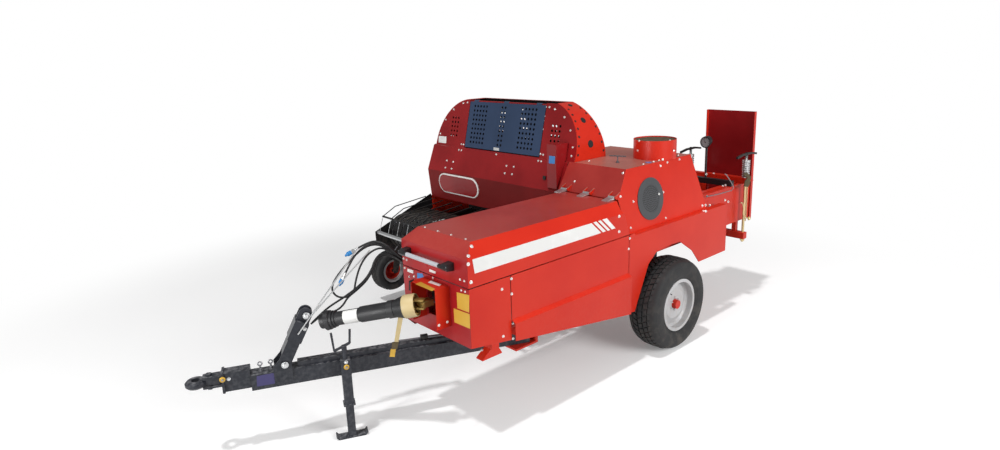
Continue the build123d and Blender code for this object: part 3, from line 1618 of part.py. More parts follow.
reel_left_y = pickup_left_y - pickup_plate - swing_gap
reel_right_y = pickup_right_y + pickup_plate + swing_gap
tine_bars = 4
with BuildPart() as pickup_reel:
    with BuildSketch(Plane.XZ.offset(-reel_left_y)):
        with Locations((reel_x, reel_z)):
            Circle(reel_tube_radius)
    extrude(amount=reel_left_y - reel_right_y)
    with BuildSketch(Plane.XZ.offset(-(pickup_left_y))):
        with Locations((reel_x, reel_z)):
            Circle(reel_shaft_radius)
    extrude(amount=pickup_left_y - pickup_right_y)
    for disc_y in (reel_left_y, reel_right_y + 6):
        with BuildSketch(Plane.XZ.offset(-disc_y)):
            with Locations((reel_x, reel_z)):
                Circle(tine_bar_circle + 20)
        extrude(amount=6)
    for bar in range(tine_bars):
        turn = 2 * math.pi * (bar + 0.5) / tine_bars
        bar_x = reel_x + tine_bar_circle * math.cos(turn)
        bar_z = reel_z + tine_bar_circle * math.sin(turn)
        with BuildSketch(Plane.XZ.offset(-reel_left_y)):
            with Locations((bar_x, bar_z)):
                Circle(tine_bar_radius)
        extrude(amount=reel_left_y - reel_right_y)
        bar_mid_y = (stripper_start_y * 2 - (stripper_count - 1) * tine_pitch) / 2
        tine_plane = Plane(
            origin=(bar_x, bar_mid_y, bar_z),
            x_dir=(0, 1, 0),
            z_dir=(math.cos(turn), 0, math.sin(turn)),
        )
        with BuildSketch(tine_plane):
            with GridLocations(tine_pitch, 1, stripper_count - 1, 1):
                RegularPolygon(tine_radius, 4)
        extrude(amount=reel_tip_radius - tine_bar_circle)
save(pickup_reel.part, "pickup_reel")

# Gauge wheel on its arm

gauge_x = axle_x + gauge_reach
gauge_plane = wheel_plane(gauge_x, gauge_y, gauge_z)
gauge_rim_half = 55.0
gauge_bead = 102.0
gauge_stub = 15.0
gauge_flange = 116.0
gauge_tyre = tyre_solid(gauge_plane, gauge_radius, gauge_width, gauge_bead, gauge_flange, gauge_rim_half)
save(gauge_tyre, "gauge_tyre")
gauge_rim_wall = 5.0
gauge_disc_inset = 20.0
gauge_hub_radius = 28.7
with BuildPart() as gauge_rim:
    add(
        rim_solid(
            gauge_plane,
            gauge_bead,
            gauge_flange,
            2 * gauge_rim_half,
            gauge_rim_wall,
            gauge_disc_inset,
            30.0,
            gauge_hub_radius - 1,
            -1,
        )
    )
    with BuildSketch(gauge_plane):
        with BuildLine():
            Polyline(
                (-48, 0),
                (-48, 20),
                (-30, gauge_hub_radius),
                (40, gauge_hub_radius),
                (40, gauge_stub + shaft_gap),
                (-36, gauge_stub + shaft_gap),
                (-36, 0),
                close=True,
            )
        make_face()
    revolve(axis=Axis(gauge_plane.origin, gauge_plane.x_dir))
save(gauge_rim.part, "gauge_rim")

with BuildPart() as gauge_arm:
    arm_plane_y = pickup_right_y
    with BuildSketch(Plane.XZ.offset(-arm_plane_y)):
        with BuildLine():
            Polyline(
                (gauge_x - 26, gauge_z - 14),
                (gauge_x + 20, gauge_z - 14),
                (gauge_x + 26, gauge_z + 20),
                (gauge_x - 20, 600),
                (gauge_x - 80, 640),
                (gauge_x - 110, 600),
                close=True,
            )
        make_face()
    extrude(amount=12)
    with BuildSketch(Plane.XZ.offset(-(arm_plane_y - 12))):
        with Locations((gauge_x, gauge_z)):
            Circle(gauge_stub)
    extrude(amount=arm_plane_y - 12 - gauge_y + 30)
save(gauge_arm.part, "gauge_arm")

# Tongue, drawn along its own line from the pivot

tongue_turn = math.radians(tongue_angle)
tongue_dir = Vector(math.cos(tongue_turn), math.sin(tongue_turn), 0)
tongue_left = Vector(-math.sin(tongue_turn), math.cos(tongue_turn), 0)


def tongue_plan(z):
    """Plane lying flat at a height, its X along the tongue from the pivot."""
    return Plane(origin=(pivot_x, pivot_y, z), x_dir=tongue_dir, z_dir=(0, 0, 1))


def tongue_side(offset):
    """Upright plane along the tongue at an offset to its left; its Y is up."""
    start = Vector(pivot_x, pivot_y, 0) + tongue_left * offset
    return Plane(origin=start, x_dir=tongue_dir, z_dir=-tongue_left)


def tongue_cross(distance):
    """Plane square to the tongue; its X runs to the left and its Y up."""
    start = Vector(pivot_x, pivot_y, 0) + tongue_dir * distance
    return Plane(origin=start, x_dir=tongue_left, z_dir=tongue_dir)


half_tongue = tongue_width / 2
beam_mid_z = tongue_z + tongue_height / 2
rib_width = 60.0
rib_height = 30.0
rib_start = 480.0
rib_front_gap = 80.0  # rib's front end behind the arm's foot pin
with BuildPart() as tongue_beam:
    with BuildSketch(tongue_cross(-beam_rear)):
        with Locations((0, beam_mid_z)):
            Rectangle(tongue_width, tongue_height)
    extrude(amount=beam_rear + beam_front)
    with BuildSketch(tongue_cross(rib_start)):
        with Locations((0, tongue_top_z + rib_height / 2)):
            Rectangle(rib_width, rib_height)
    extrude(amount=arm_foot_distance - rib_front_gap - rib_start)
    with BuildSketch(tongue_plan(tongue_z - 2 - bracket_plate - 6)):
        Circle(pivot_pin_radius)
    extrude(amount=tongue_height + 2 * bracket_plate + 14)
save(tongue_beam.part, "tongue_beam")

box_length = 150.0
box_width = 84.0
box_height = 120.0
box_mid_z = 480.0
flange_plate = 14.0
clevis_plate = 12.0
clevis_width = 70.0
clevis_length = 96.0
shank_height = 46.0
shank_gap = 1.0  # shank between the clevis plates
clevis_bolt_radius = 11.0
clevis_bolt_distance = beam_front + box_length + flange_plate + clevis_length - 24
clevis_front = beam_front + box_length + flange_plate + clevis_length
with BuildPart() as front_box:
    with BuildSketch(tongue_cross(beam_front)):
        with Locations((0, box_mid_z)):
            Rectangle(box_width, box_height)
    extrude(amount=box_length)
    with BuildSketch(tongue_cross(beam_front + box_length)):
        with Locations((0, box_mid_z)):
            RectangleRounded(box_width + 26, box_height + 14, 10)
    extrude(amount=flange_plate)
    # Clevis of two plates with the upright bolt through the eye's shank
    plate_low_z = eye_z - shank_height / 2 - shank_gap - clevis_plate
    plate_high_z = eye_z + shank_height / 2 + shank_gap
    for plate_z in (plate_low_z, plate_high_z):
        with BuildSketch(tongue_plan(plate_z)):
            with Locations((clevis_front - clevis_length / 2, 0)):
                Rectangle(clevis_length, clevis_width)
            with Locations((clevis_front, 0)):
                Circle(clevis_width / 2)
            with Locations((clevis_front + clevis_width / 2 + 12, 0)):
                Rectangle(clevis_width, clevis_width, mode=Mode.SUBTRACT)
        extrude(amount=clevis_plate)
    with BuildSketch(tongue_plan(plate_low_z - 12)):
        with Locations((clevis_bolt_distance, 0)):
            Circle(clevis_bolt_radius)
    extrude(amount=plate_high_z + clevis_plate + 10 - plate_low_z + 12)
    for head_z in (plate_low_z - 14, plate_high_z + clevis_plate):
        with BuildSketch(tongue_plan(head_z)):
            with Locations((clevis_bolt_distance, 0)):
                RegularPolygon(19, 6)
        extrude(amount=14)
save(front_box.part, "front_box")

with BuildPart() as towing_eye:
    # Forged ring with chamfered rims
    with BuildSketch(tongue_side(0)):
        with BuildLine():
            rim = 12.0
            Polyline(
                (eye_distance + eye_bore, eye_z - eye_thickness / 2),
                (eye_distance + eye_outer - rim, eye_z - eye_thickness / 2),
                (eye_distance + eye_outer, eye_z - eye_thickness / 2 + rim),
                (eye_distance + eye_outer, eye_z + eye_thickness / 2 - rim),
                (eye_distance + eye_outer - rim, eye_z + eye_thickness / 2),
                (eye_distance + eye_bore, eye_z + eye_thickness / 2),
                close=True,
            )
        make_face()
    eye_centre = Vector(pivot_x, pivot_y, 0) + tongue_dir * eye_distance
    revolve(axis=Axis((eye_centre.X, eye_centre.Y, 0), (0, 0, 1)))
    # Shank between the clevis plates
    with BuildSketch(tongue_cross(clevis_front - clevis_length + 10)):
        with Locations((0, eye_z)):
            Rectangle(clevis_width - 16, shank_height)
    with BuildSketch(tongue_cross(eye_distance - eye_bore - 14)):
        with Locations((0, eye_z)):
            Rectangle(36, eye_thickness - 8)
    loft()
    with BuildSketch(tongue_plan(eye_z - shank_height)):
        with Locations((clevis_bolt_distance, 0)):
            Circle(clevis_bolt_radius + shaft_gap)
    extrude(amount=2 * shank_height, mode=Mode.SUBTRACT)
save(towing_eye.part, "towing_eye")

arm_run = arm_head_distance - arm_foot_distance
arm_rise = arm_head_z - arm_foot_z
arm_length = math.hypot(arm_run, arm_rise)


def arm_spot(along, ahead):
    """Point in the tongue's side plane, along the arm and ahead of it."""
    up_run = arm_run / arm_length
    up_rise = arm_rise / arm_length
    distance = arm_foot_distance + along * up_run + ahead * up_rise
    return (distance, arm_foot_z + along * up_rise - ahead * up_run)


arm_plate = 6.0
arm_half_depth = 38.0
channel_top = 0.62 * arm_length
sleeve_start = 0.48 * arm_length
sleeve_end = 0.86 * arm_length
sleeve_depth = 44.0
sleeve_out = 10.0  # sleeve past the channel on each side
head_radius = 42.0
head_plate = 12.0
head_spread = 62.0
arm_pin_radius = 14.0
with BuildPart() as tongue_arm:
    # Channel with its foot plates on the beam's sides
    for plate_offset in (half_tongue + arm_plate, -half_tongue):
        with BuildSketch(tongue_side(plate_offset)):
            with BuildLine():
                Polyline(
                    (arm_foot_distance + 62, tongue_z + 40),
                    (arm_foot_distance + 62, arm_foot_z),
                    arm_spot(30, arm_half_depth),
                    arm_spot(channel_top, arm_half_depth),
                    arm_spot(channel_top, -arm_half_depth),
                    arm_spot(30, -arm_half_depth),
                    (arm_foot_distance - 50, tongue_z + 40),
                    close=True,
                )
            make_face()
        extrude(amount=arm_plate)
    with BuildSketch(tongue_side(half_tongue)):
        with BuildLine():
            Polyline(
                arm_spot(60, arm_half_depth),
                arm_spot(channel_top, arm_half_depth),
                arm_spot(channel_top, arm_half_depth - arm_plate),
                arm_spot(60, arm_half_depth - arm_plate),
                close=True,
            )
        make_face()
    extrude(amount=tongue_width)
    # Sleeve round the channel's upper end
    with BuildSketch(tongue_side(half_tongue + sleeve_out)):
        with BuildLine():
            Polyline(
                arm_spot(sleeve_start, sleeve_depth),
                arm_spot(sleeve_end, sleeve_depth),
                arm_spot(sleeve_end, -sleeve_depth),
                arm_spot(sleeve_start, -sleeve_depth),
                close=True,
            )
        make_face()
    extrude(amount=tongue_width + 2 * sleeve_out)
    # Head: two round-ended plates with a pin
    for plate_offset in (head_spread / 2, -head_spread / 2 + head_plate):
        with BuildSketch(tongue_side(plate_offset)):
            with BuildLine():
                Polyline(
                    arm_spot(sleeve_end, head_radius),
                    arm_spot(arm_length, head_radius),
                    arm_spot(arm_length, -head_radius),
                    arm_spot(sleeve_end, -head_radius),
                    close=True,
                )
            make_face()
            with Locations((arm_head_distance, arm_head_z)):
                Circle(head_radius)
        extrude(amount=head_plate)
    for pin_along, pin_half in ((0.0, half_tongue + 18), (arm_length, head_spread / 2 + 12)):
        with BuildSketch(tongue_side(pin_half)):
            with Locations(arm_spot(pin_along, 0)):
                Circle(arm_pin_radius)
        extrude(amount=2 * pin_half)
save(tongue_arm.part, "tongue_arm")

# Jack on the tongue's left side

jack_leg_width = 50.0
jack_tube_width = 60.0
jack_collar_z = 225.0
jack_tube_top_z = 536.0
jack_travel = 180.0
with BuildPart() as jack_tube:
    with BuildSketch(tongue_plan(jack_collar_z)):
        with Locations((jack_distance, jack_offset)):
            Rectangle(jack_tube_width, jack_tube_width)
            Rectangle(jack_leg_width + 2 * seat_gap, jack_leg_width + 2 * seat_gap, mode=Mode.SUBTRACT)
    extrude(amount=jack_tube_top_z - jack_collar_z)
    with BuildSketch(tongue_plan(jack_tube_top_z - 6)):
        with Locations((jack_distance, jack_offset)):
            Rectangle(jack_tube_width, jack_tube_width)
    extrude(amount=6)
    with BuildSketch(tongue_plan(jack_collar_z)):
        with Locations((jack_distance, jack_offset)):
            Rectangle(jack_tube_width + 14, jack_tube_width + 14)
            Rectangle(jack_tube_width - 1, jack_tube_width - 1, mode=Mode.SUBTRACT)
    extrude(amount=10)
    with BuildSketch(tongue_plan(tongue_z + 10)):
        with Locations((jack_distance, (half_tongue + jack_offset - jack_tube_width / 2) / 2)):
            Rectangle(70, jack_offset - jack_tube_width / 2 - half_tongue)
    extrude(amount=80)
save(jack_tube.part, "jack_tube")

with BuildPart() as jack_leg:
    with BuildSketch(tongue_plan(6)):
        with Locations((jack_distance, jack_offset)):
            Rectangle(jack_leg_width, jack_leg_width)
    extrude(amount=jack_tube_top_z - 6 - jack_travel - 8 - 6)
    with BuildSketch(tongue_side(jack_offset + 35)):
        with BuildLine():
            Polyline(
                (jack_distance - 100, 18),
                (jack_distance - 84, 0),
                (jack_distance + 84, 0),
                (jack_distance + 100, 18),
                (jack_distance + 96, 22),
                (jack_distance + 81, 6),
                (jack_distance - 81, 6),
                (jack_distance - 96, 22),
                close=True,
            )
        make_face()
    extrude(amount=70)
save(jack_leg.part, "jack_leg")

with BuildPart() as jack_crank:
    with BuildSketch(tongue_plan(jack_tube_top_z)):
        with Locations((jack_distance, jack_offset)):
            Circle(16)
    extrude(amount=90)
    crank_bar = 14.0
    with BuildSketch(tongue_side(jack_offset + crank_bar / 2)):
        with BuildLine():
            Polyline(
                (jack_distance + 77, 720),
                (jack_distance + 67, 600),
                (jack_distance + 58, 592),
                (jack_distance - 38, 630),
                (jack_distance - 43, 638),
                (jack_distance - 51, 726),
                (jack_distance - 37, 726),
                (jack_distance - 30, 642),
                (jack_distance + 55, 607),
                (jack_distance + 63, 720),
                close=True,
            )
        make_face()
    extrude(amount=crank_bar)
save(jack_crank.part, "jack_crank")

# Driveline: outer tube with its cones at the machine, inner tube at the arm

arm_point = Vector(pivot_x, pivot_y, 0) + tongue_dir * driveline_end_distance
joint_point = Vector(joint_x, joint_y, joint_z)
end_point = Vector(arm_point.X, arm_point.Y, driveline_end_z)
driveline_dir = (end_point - joint_point).normalized()
driveline_length = (end_point - joint_point).length


def driveline_plane(distance):
    """Plane square to the driveline at a distance from its rear joint."""
    return Plane(origin=joint_point + driveline_dir * distance, z_dir=driveline_dir)


outer_end = 400.0
telescope = 160.0
inner_radius = 34.0
bell_start = 34.0
bell_length = 80.0
bell_radius = 60.0
bell_wall = 4.0
with BuildPart() as driveline_outer:
    outer_profile = [
        # distance from the joint, radius at its start, radius at its end, length
        (bell_start, bell_radius, bell_radius + 2, bell_length),
        (bell_start + bell_length, 58.0, 48.0, 46.0),
        (bell_start + bell_length + 46.0, 48.0, 48.0, 40.0),
        (bell_start + bell_length + 86.0, 41.0, 41.0, outer_end - bell_start - bell_length - 86.0),
    ]
    for start, first_radius, second_radius, run in outer_profile:
        with BuildSketch(driveline_plane(start)):
            Circle(first_radius)
        with BuildSketch(driveline_plane(start + run)):
            Circle(second_radius)
        loft()
    with BuildSketch(driveline_plane(bell_start)):
        Circle(bell_radius - bell_wall)
    extrude(amount=bell_length - bell_wall, mode=Mode.SUBTRACT)
    with BuildSketch(driveline_plane(outer_end)):
        Circle(inner_radius + seat_gap)
    extrude(amount=-(telescope + 20), mode=Mode.SUBTRACT)
save(driveline_outer.part, "driveline_outer")

with BuildPart() as driveline_inner:
    with BuildSketch(driveline_plane(outer_end - 15)):
        Circle(inner_radius)
    extrude(amount=driveline_length - 60 - outer_end + 15)
    with BuildSketch(driveline_plane(driveline_length - 110)):
        Circle(36)
    with BuildSketch(driveline_plane(driveline_length - 60)):
        Circle(52)
    loft()
    with BuildSketch(driveline_plane(driveline_length - 60)):
        Circle(44)
    extrude(amount=34)
    with BuildSketch(driveline_plane(driveline_length - 26)):
        Circle(pto_bore_radius)
    extrude(amount=-pto_bore_length, mode=Mode.SUBTRACT)
save(driveline_inner.part, "driveline_inner")

driveline_flat = Vector(driveline_dir.X, driveline_dir.Y, 0).normalized()
yoke_width = 40.0
with BuildPart() as driveline_yoke:
    for base_z in (joint_z + cross_block / 2 + yoke_gap, joint_z - cross_block / 2 - yoke_gap - yoke_ear):
        with BuildSketch(Plane(origin=(joint_x, joint_y, base_z), x_dir=driveline_flat, z_dir=(0, 0, 1))):
            Circle(yoke_width / 2)
            with Locations((32, 0)):
                Rectangle(64, yoke_width)
            Circle(cross_pin_radius + shaft_gap, mode=Mode.SUBTRACT)
        extrude(amount=yoke_ear)
    bell_floor = driveline_plane(bell_start + bell_length - bell_wall)
    with BuildSketch(bell_floor):
        Rectangle(yoke_width, yoke_width + 28)
    extrude(amount=-(bell_length - bell_wall - 16))
save(driveline_yoke.part, "driveline_yoke")

# Pressure gauge over the tension gear

dial_x = axle_x - 1110
with BuildPart() as pressure_gauge:
    with BuildSketch(Plane.XY.offset(channel_top_z)):
        with Locations((dial_x, channel_mid_y)):
            Rectangle(50, chamber_left_out - chamber_right_out + 2 * chamber_flange)
    extrude(amount=50)
    with BuildSketch(Plane.XY.offset(channel_top_z + 50)):
        with Locations((dial_x, channel_mid_y)):
            Circle(9)
    extrude(amount=1516 - 40 - channel_top_z - 50)
    with BuildSketch(Plane.YZ.offset(dial_x - 20)):
        with Locations((channel_mid_y, 1516)):
            Circle(44)
    extrude(amount=40)
save(pressure_gauge.part, "pressure_gauge")

# Hydraulic hoses, hung in an upright plane from the cover's corner to the arm

hose_diameter = 13.0
hose_start = Vector(axle_x + 2030, side_y - 712, 0)
hose_goal_left = -half_tongue - 35
hose_goal_along = arm_head_distance - 30
hose_goal = Vector(pivot_x, pivot_y, 0) + tongue_dir * hose_goal_along + tongue_left * hose_goal_left
hose_run = (hose_goal - hose_start).normalized()
hose_out = Vector(hose_run.Y, -hose_run.X, 0)
hose_routes = [
    # points: along the plane, out from it to the right, height
    [
        (-90, 20, 1012),
        (-20, 16, 1064),
        (60, 8, 1158),
        (138, 4, 1214),
        (213, 4, 1203),
        (262, 4, 1180),
    ],
    [
        (-90, 38, 1012),
        (-22, 36, 1060),
        (62, 26, 1146),
        (135, 24, 1196),
        (215, 24, 1184),
        (285, 24, 1130),
        (330, 24, 1060),
        (352, 24, 1022),
    ],
    [
        (-90, 56, 1012),
        (-22, 54, 1054),
        (60, 46, 1130),
        (132, 42, 1180),
        (215, 42, 1172),
        (300, 42, 1108),
        (380, 46, 1030),
        (436, 54, 955),
        (446, 62, 896),
        (412, 66, 847),
        (352, 66, 837),
        (303, 66, 871),
        (288, 66, 945),
        (250, 66, 1045),
        (190, 64, 1120),
        (110, 62, 1150),
        (40, 62, 1105),
        (-25, 60, 1035),
        (-90, 56, 985),
    ],
    [
        (-90, 20, 987),
        (-30, 22, 1035),
        (28, 24, 1086),
        (88, 26, 1119),
        (149, 26, 1096),
        (178, 26, 1030),
        (225, 26, 958),
        (300, 26, 900),
        (386, 24, 852),
        (470, 24, 812),
        (530, 22, 772),
        (590, 20, 722),
    ],
    [
        (-90, 38, 987),
        (-30, 40, 1028),
        (24, 42, 1071),
        (82, 44, 1102),
        (140, 44, 1080),
        (169, 44, 1018),
        (214, 44, 944),
        (286, 44, 886),
        (352, 44, 845),
        (385, 44, 795),
        (430, 44, 766),
        (490, 44, 758),
        (552, 42, 738),
        (598, 40, 706),
    ],
]
run_share = 0.45  # of the shorter run, taken up by a bend
coupled_hoses = 2  # the first hoses end in couplers
looped_hose = 2  # this one comes back to the block
block_behind = 33.0
coupler_stages = [
    # radius, corners (0 is round), length
    (9.0, 0, 30.0),
    (13.0, 6, 18.0),
    (15.0, 0, 34.0),
    (8.0, 0, 14.0),
]


def hose_point(along, out, height):
    """Point of a hose from its place in the hose plane."""
    return hose_start + hose_run * along + hose_out * out + Vector(0, 0, height)


def bend_radii(points):
    """Largest radius that each corner's two runs allow."""
    radii = []
    for before, corner, after in zip(points, points[1:], points[2:]):
        shorter = min((corner - before).length, (after - corner).length)
        half_turn = math.radians((corner - before).get_angle(after - corner)) / 2
        radii.append(run_share * shorter / math.tan(half_turn))
    return radii


hose_lengths = []
with BuildPart() as hydraulic_hoses:
    for route in hose_routes:
        points = [hose_point(*spot) for spot in route]
        radii = bend_radii(points)
        print("hose bends", round(min(radii)), "to", round(max(radii)), "mm")
        with BuildLine() as hose_line:
            FilletPolyline(*points, radius=radii)
        with BuildSketch(Plane(origin=points[0], z_dir=(points[1] - points[0]).normalized())):
            Circle(hose_diameter / 2)
        sweep(path=hose_line.wire())
        hose_lengths.append(hose_line.wire().length)
hose_volume = math.pi * (hose_diameter / 2) ** 2 * sum(hose_lengths)
print("hose lengths", [round(length) for length in hose_lengths], "mm")
print("hose volume against section and length", round(hydraulic_hoses.part.volume / hose_volume, 4))
save(hydraulic_hoses.part, "hydraulic_hoses")

# Block on the front cover with a fitting for each hose end

block_length = 26.0
block_height = 64.0
block_below = 46.0
block_beyond = 14.0
fitting_radius = 8.5
fitting_length = 34.0
block_ends = [(route[0], route[1]) for route in hose_routes]
block_ends.append((hose_routes[looped_hose][-1], hose_routes[looped_hose][-2]))
block_middle = hose_point(*hose_routes[0][0])
block_x = block_middle.X - block_behind
block_right_y = hose_point(*hose_routes[looped_hose][0]).Y - block_beyond
with BuildPart() as hose_bulkhead:
    with BuildSketch(Plane.XY.offset(block_middle.Z - block_below)):
        with Locations((block_x, (cover_right_y + block_right_y) / 2)):
            Rectangle(block_length, cover_right_y - block_right_y)
    extrude(amount=block_height)
    for hose_end, hose_next in block_ends:
        end_point = hose_point(*hose_end)
        end_dir = (end_point - hose_point(*hose_next)).normalized()
        with BuildSketch(Plane(origin=end_point, z_dir=end_dir)):
            Circle(fitting_radius)
        extrude(amount=fitting_length)
save(hose_bulkhead.part, "hose_bulkhead")

with BuildPart() as hose_couplers:
    for route in hose_routes[:coupled_hoses]:
        coupler_end = hose_point(*route[-1])
        coupler_dir = (coupler_end - hose_point(*route[-2])).normalized()
        coupler_plane = Plane(origin=coupler_end, z_dir=coupler_dir)
        for radius, corners, length in coupler_stages:
            with BuildSketch(coupler_plane):
                if corners:
                    RegularPolygon(radius, corners)
                else:
                    Circle(radius)
            extrude(amount=length)
            coupler_plane = coupler_plane.offset(length)
save(hose_couplers.part, "hose_couplers")

# Stays of the hoses: two thin rods from pins on the arm's left side

stay_radius = 3.0
stay_pin_radius = 6.0
stay_rods = [
    # foot and top, each along the tongue, to its left, height; where the pin starts
    ((1452.0, 78.0, 723.0), (1043.0, -29.0, 1191.0), half_tongue + sleeve_out),
    ((1365.0, 52.0, 822.0), (959.0, -20.0, 1185.0), head_spread / 2),
]


def tongue_point(spot):
    """Point from its place along the tongue, to its left and up."""
    along, left, height = spot
    return Vector(pivot_x, pivot_y, height) + tongue_dir * along + tongue_left * left


with BuildPart() as hose_stays:
    for foot, top, pin_start in stay_rods:
        foot_point = tongue_point(foot)
        rod_dir = tongue_point(top) - foot_point
        with BuildSketch(Plane(origin=foot_point, z_dir=rod_dir.normalized())):
            Circle(stay_radius)
        extrude(amount=rod_dir.length)
        with BuildSketch(tongue_side(foot[1] + stay_pin_radius)):
            with Locations((foot[0], foot[2])):
                Circle(stay_pin_radius)
        extrude(amount=foot[1] + stay_pin_radius - pin_start)
save(hose_stays.part, "hose_stays")

# Chain that hangs from the tension beam

link_wire = 3.0
link_length = 26.0
link_width = 16.0
link_pitch = link_length - 2 * link_wire - 0.2
chain_links = 20
chain_x = tension_x - 30 - 12
chain_y = screw_left_y
chain_top_z = beam_top_z - 28
hook_radius = 4.0
with BuildPart() as chute_chain:
    # Hook bar on the beam's rear face, bent up at its end
    with BuildSketch(Plane.YZ.offset(chain_x - 14)):
        with Locations((chain_y, chain_top_z)):
            RegularPolygon(hook_radius, 6)
    extrude(amount=tension_x - 30 - chain_x + 14)
    with BuildSketch(Plane.XY.offset(chain_top_z)):
        with Locations((chain_x - 14 + hook_radius / 2, chain_y)):
            RegularPolygon(hook_radius, 6)
    extrude(amount=14)
    for link in range(chain_links):
        link_z = chain_top_z + hook_radius + link_wire - link_length / 2 - link * link_pitch
        wide_dir = Vector(0, 1, 0) if link % 2 == 0 else Vector(1, 0, 0)
        link_facing = wide_dir.cross(Vector(0, 0, 1))
        link_plane = Plane(origin=(chain_x, chain_y, link_z), x_dir=wide_dir, z_dir=link_facing)
        straight = link_length - link_width
        middle_width = link_width / 2 - link_wire
        with BuildLine(link_plane) as link_line:
            Line((middle_width, -straight / 2), (middle_width, straight / 2))
            JernArc((middle_width, straight / 2), (0, 1), middle_width, 180)
            Line((-middle_width, straight / 2), (-middle_width, -straight / 2))
            JernArc((-middle_width, -straight / 2), (0, -1), middle_width, 180)
        with BuildSketch(Plane(origin=link_line.wire() @ 0, z_dir=link_line.wire() % 0)):
            RegularPolygon(link_wire, 6)
        sweep(path=link_line.wire())
save(chute_chain.part, "chute_chain")
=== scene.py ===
"""Square baler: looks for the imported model, in the model's own frame, in metres."""
import json
import logging
import math
from dataclasses import dataclass, field
from enum import Enum
from typing import Callable, Optional, Sequence

import bmesh
import bpy
from mathutils import Matrix, Vector
from mathutils.bvhtree import BVHTree


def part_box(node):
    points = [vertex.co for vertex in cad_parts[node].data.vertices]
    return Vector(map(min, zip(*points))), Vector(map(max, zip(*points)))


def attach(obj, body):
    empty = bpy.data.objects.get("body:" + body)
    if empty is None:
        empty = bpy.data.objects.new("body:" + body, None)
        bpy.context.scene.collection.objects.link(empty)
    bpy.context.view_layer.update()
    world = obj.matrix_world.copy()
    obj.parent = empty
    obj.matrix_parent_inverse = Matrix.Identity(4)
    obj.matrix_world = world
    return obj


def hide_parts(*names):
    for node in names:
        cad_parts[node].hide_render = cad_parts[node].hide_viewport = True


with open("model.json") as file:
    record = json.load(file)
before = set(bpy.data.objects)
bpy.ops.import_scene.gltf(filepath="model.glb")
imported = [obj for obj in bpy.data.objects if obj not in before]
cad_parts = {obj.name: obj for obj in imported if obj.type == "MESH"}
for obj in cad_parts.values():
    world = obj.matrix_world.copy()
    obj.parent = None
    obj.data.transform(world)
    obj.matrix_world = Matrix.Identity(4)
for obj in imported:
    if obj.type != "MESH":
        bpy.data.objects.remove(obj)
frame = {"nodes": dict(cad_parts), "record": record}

log = logging.getLogger("baler")

Point = tuple[float, float, float]
Profile = Sequence[tuple[float, float]]

AXLE_X = -0.8905  # the wheel axle in the model's frame
SIDE_Y = 1.262  # the left side plane in the model's frame
TONGUE_PIVOT = (1.380, -0.296)  # from the axle and the side plane
TONGUE_TURN = math.radians(-24.0)  # parked tongue, from straight ahead
AHEAD = Vector((1, 0, 0))
LEFT = Vector((0, 1, 0))
UP = Vector((0, 0, 1))


def at(reach: float, across: float, height: float) -> Vector:
    """Point given from the wheel axle and the left side plane.

    Args:
        reach: metres ahead of the axle.
        across: metres to the left of the left side plane.
        height: metres above the ground.

    Returns:
        The point in the model's frame.
    """
    return Vector((AXLE_X + reach, SIDE_Y + across, height))


def tongue(distance: float, across: float, height: float) -> Vector:
    """Point given along the parked tongue.

    Args:
        distance: metres ahead of its pivot.
        across: metres to its left.
        height: metres above the ground.

    Returns:
        The point in the model's frame.
    """
    ahead = Vector((math.cos(TONGUE_TURN), math.sin(TONGUE_TURN), 0.0))
    left = Vector((-ahead.y, ahead.x, 0.0))
    return at(*TONGUE_PIVOT, height) + ahead * distance + left * across


DRIVELINE_JOINT = at(2.150, -0.310, 0.900)
DRIVELINE_LINE = Vector((0.62685, -0.75398, -0.19641))  # from the joint towards the tongue's arm
DRIVELINE_LENGTH = 0.69243


# ---------------------------------------------------------------- finishes


class Value:
    """A shader socket that takes Python's arithmetic."""

    def __init__(self, recipe: "Recipe", socket: bpy.types.NodeSocket) -> None:
        """Wrap one output socket of a recipe."""
        self.recipe = recipe
        self.socket = socket

    def _math(self, operation: str, left: object, right: object) -> "Value":
        """Add one Math node."""
        return self.recipe.node("ShaderNodeMath", {"operation": operation}, {0: left, 1: right})

    def __add__(self, other: object) -> "Value":
        """Sum."""
        return self._math("ADD", self, other)

    __radd__ = __add__

    def __sub__(self, other: object) -> "Value":
        """Difference."""
        return self._math("SUBTRACT", self, other)

    def __rsub__(self, other: object) -> "Value":
        """Difference the other way round."""
        return self._math("SUBTRACT", other, self)

    def __mul__(self, other: object) -> "Value":
        """Product."""
        return self._math("MULTIPLY", self, other)

    def ramp(self, low: float, high: float) -> "Value":
        """Rise smoothly from 0 at low to 1 at high."""
        settings = {"interpolation_type": "SMOOTHSTEP"}
        return self.recipe.node("ShaderNodeMapRange", settings, {0: self, 1: low, 2: high})


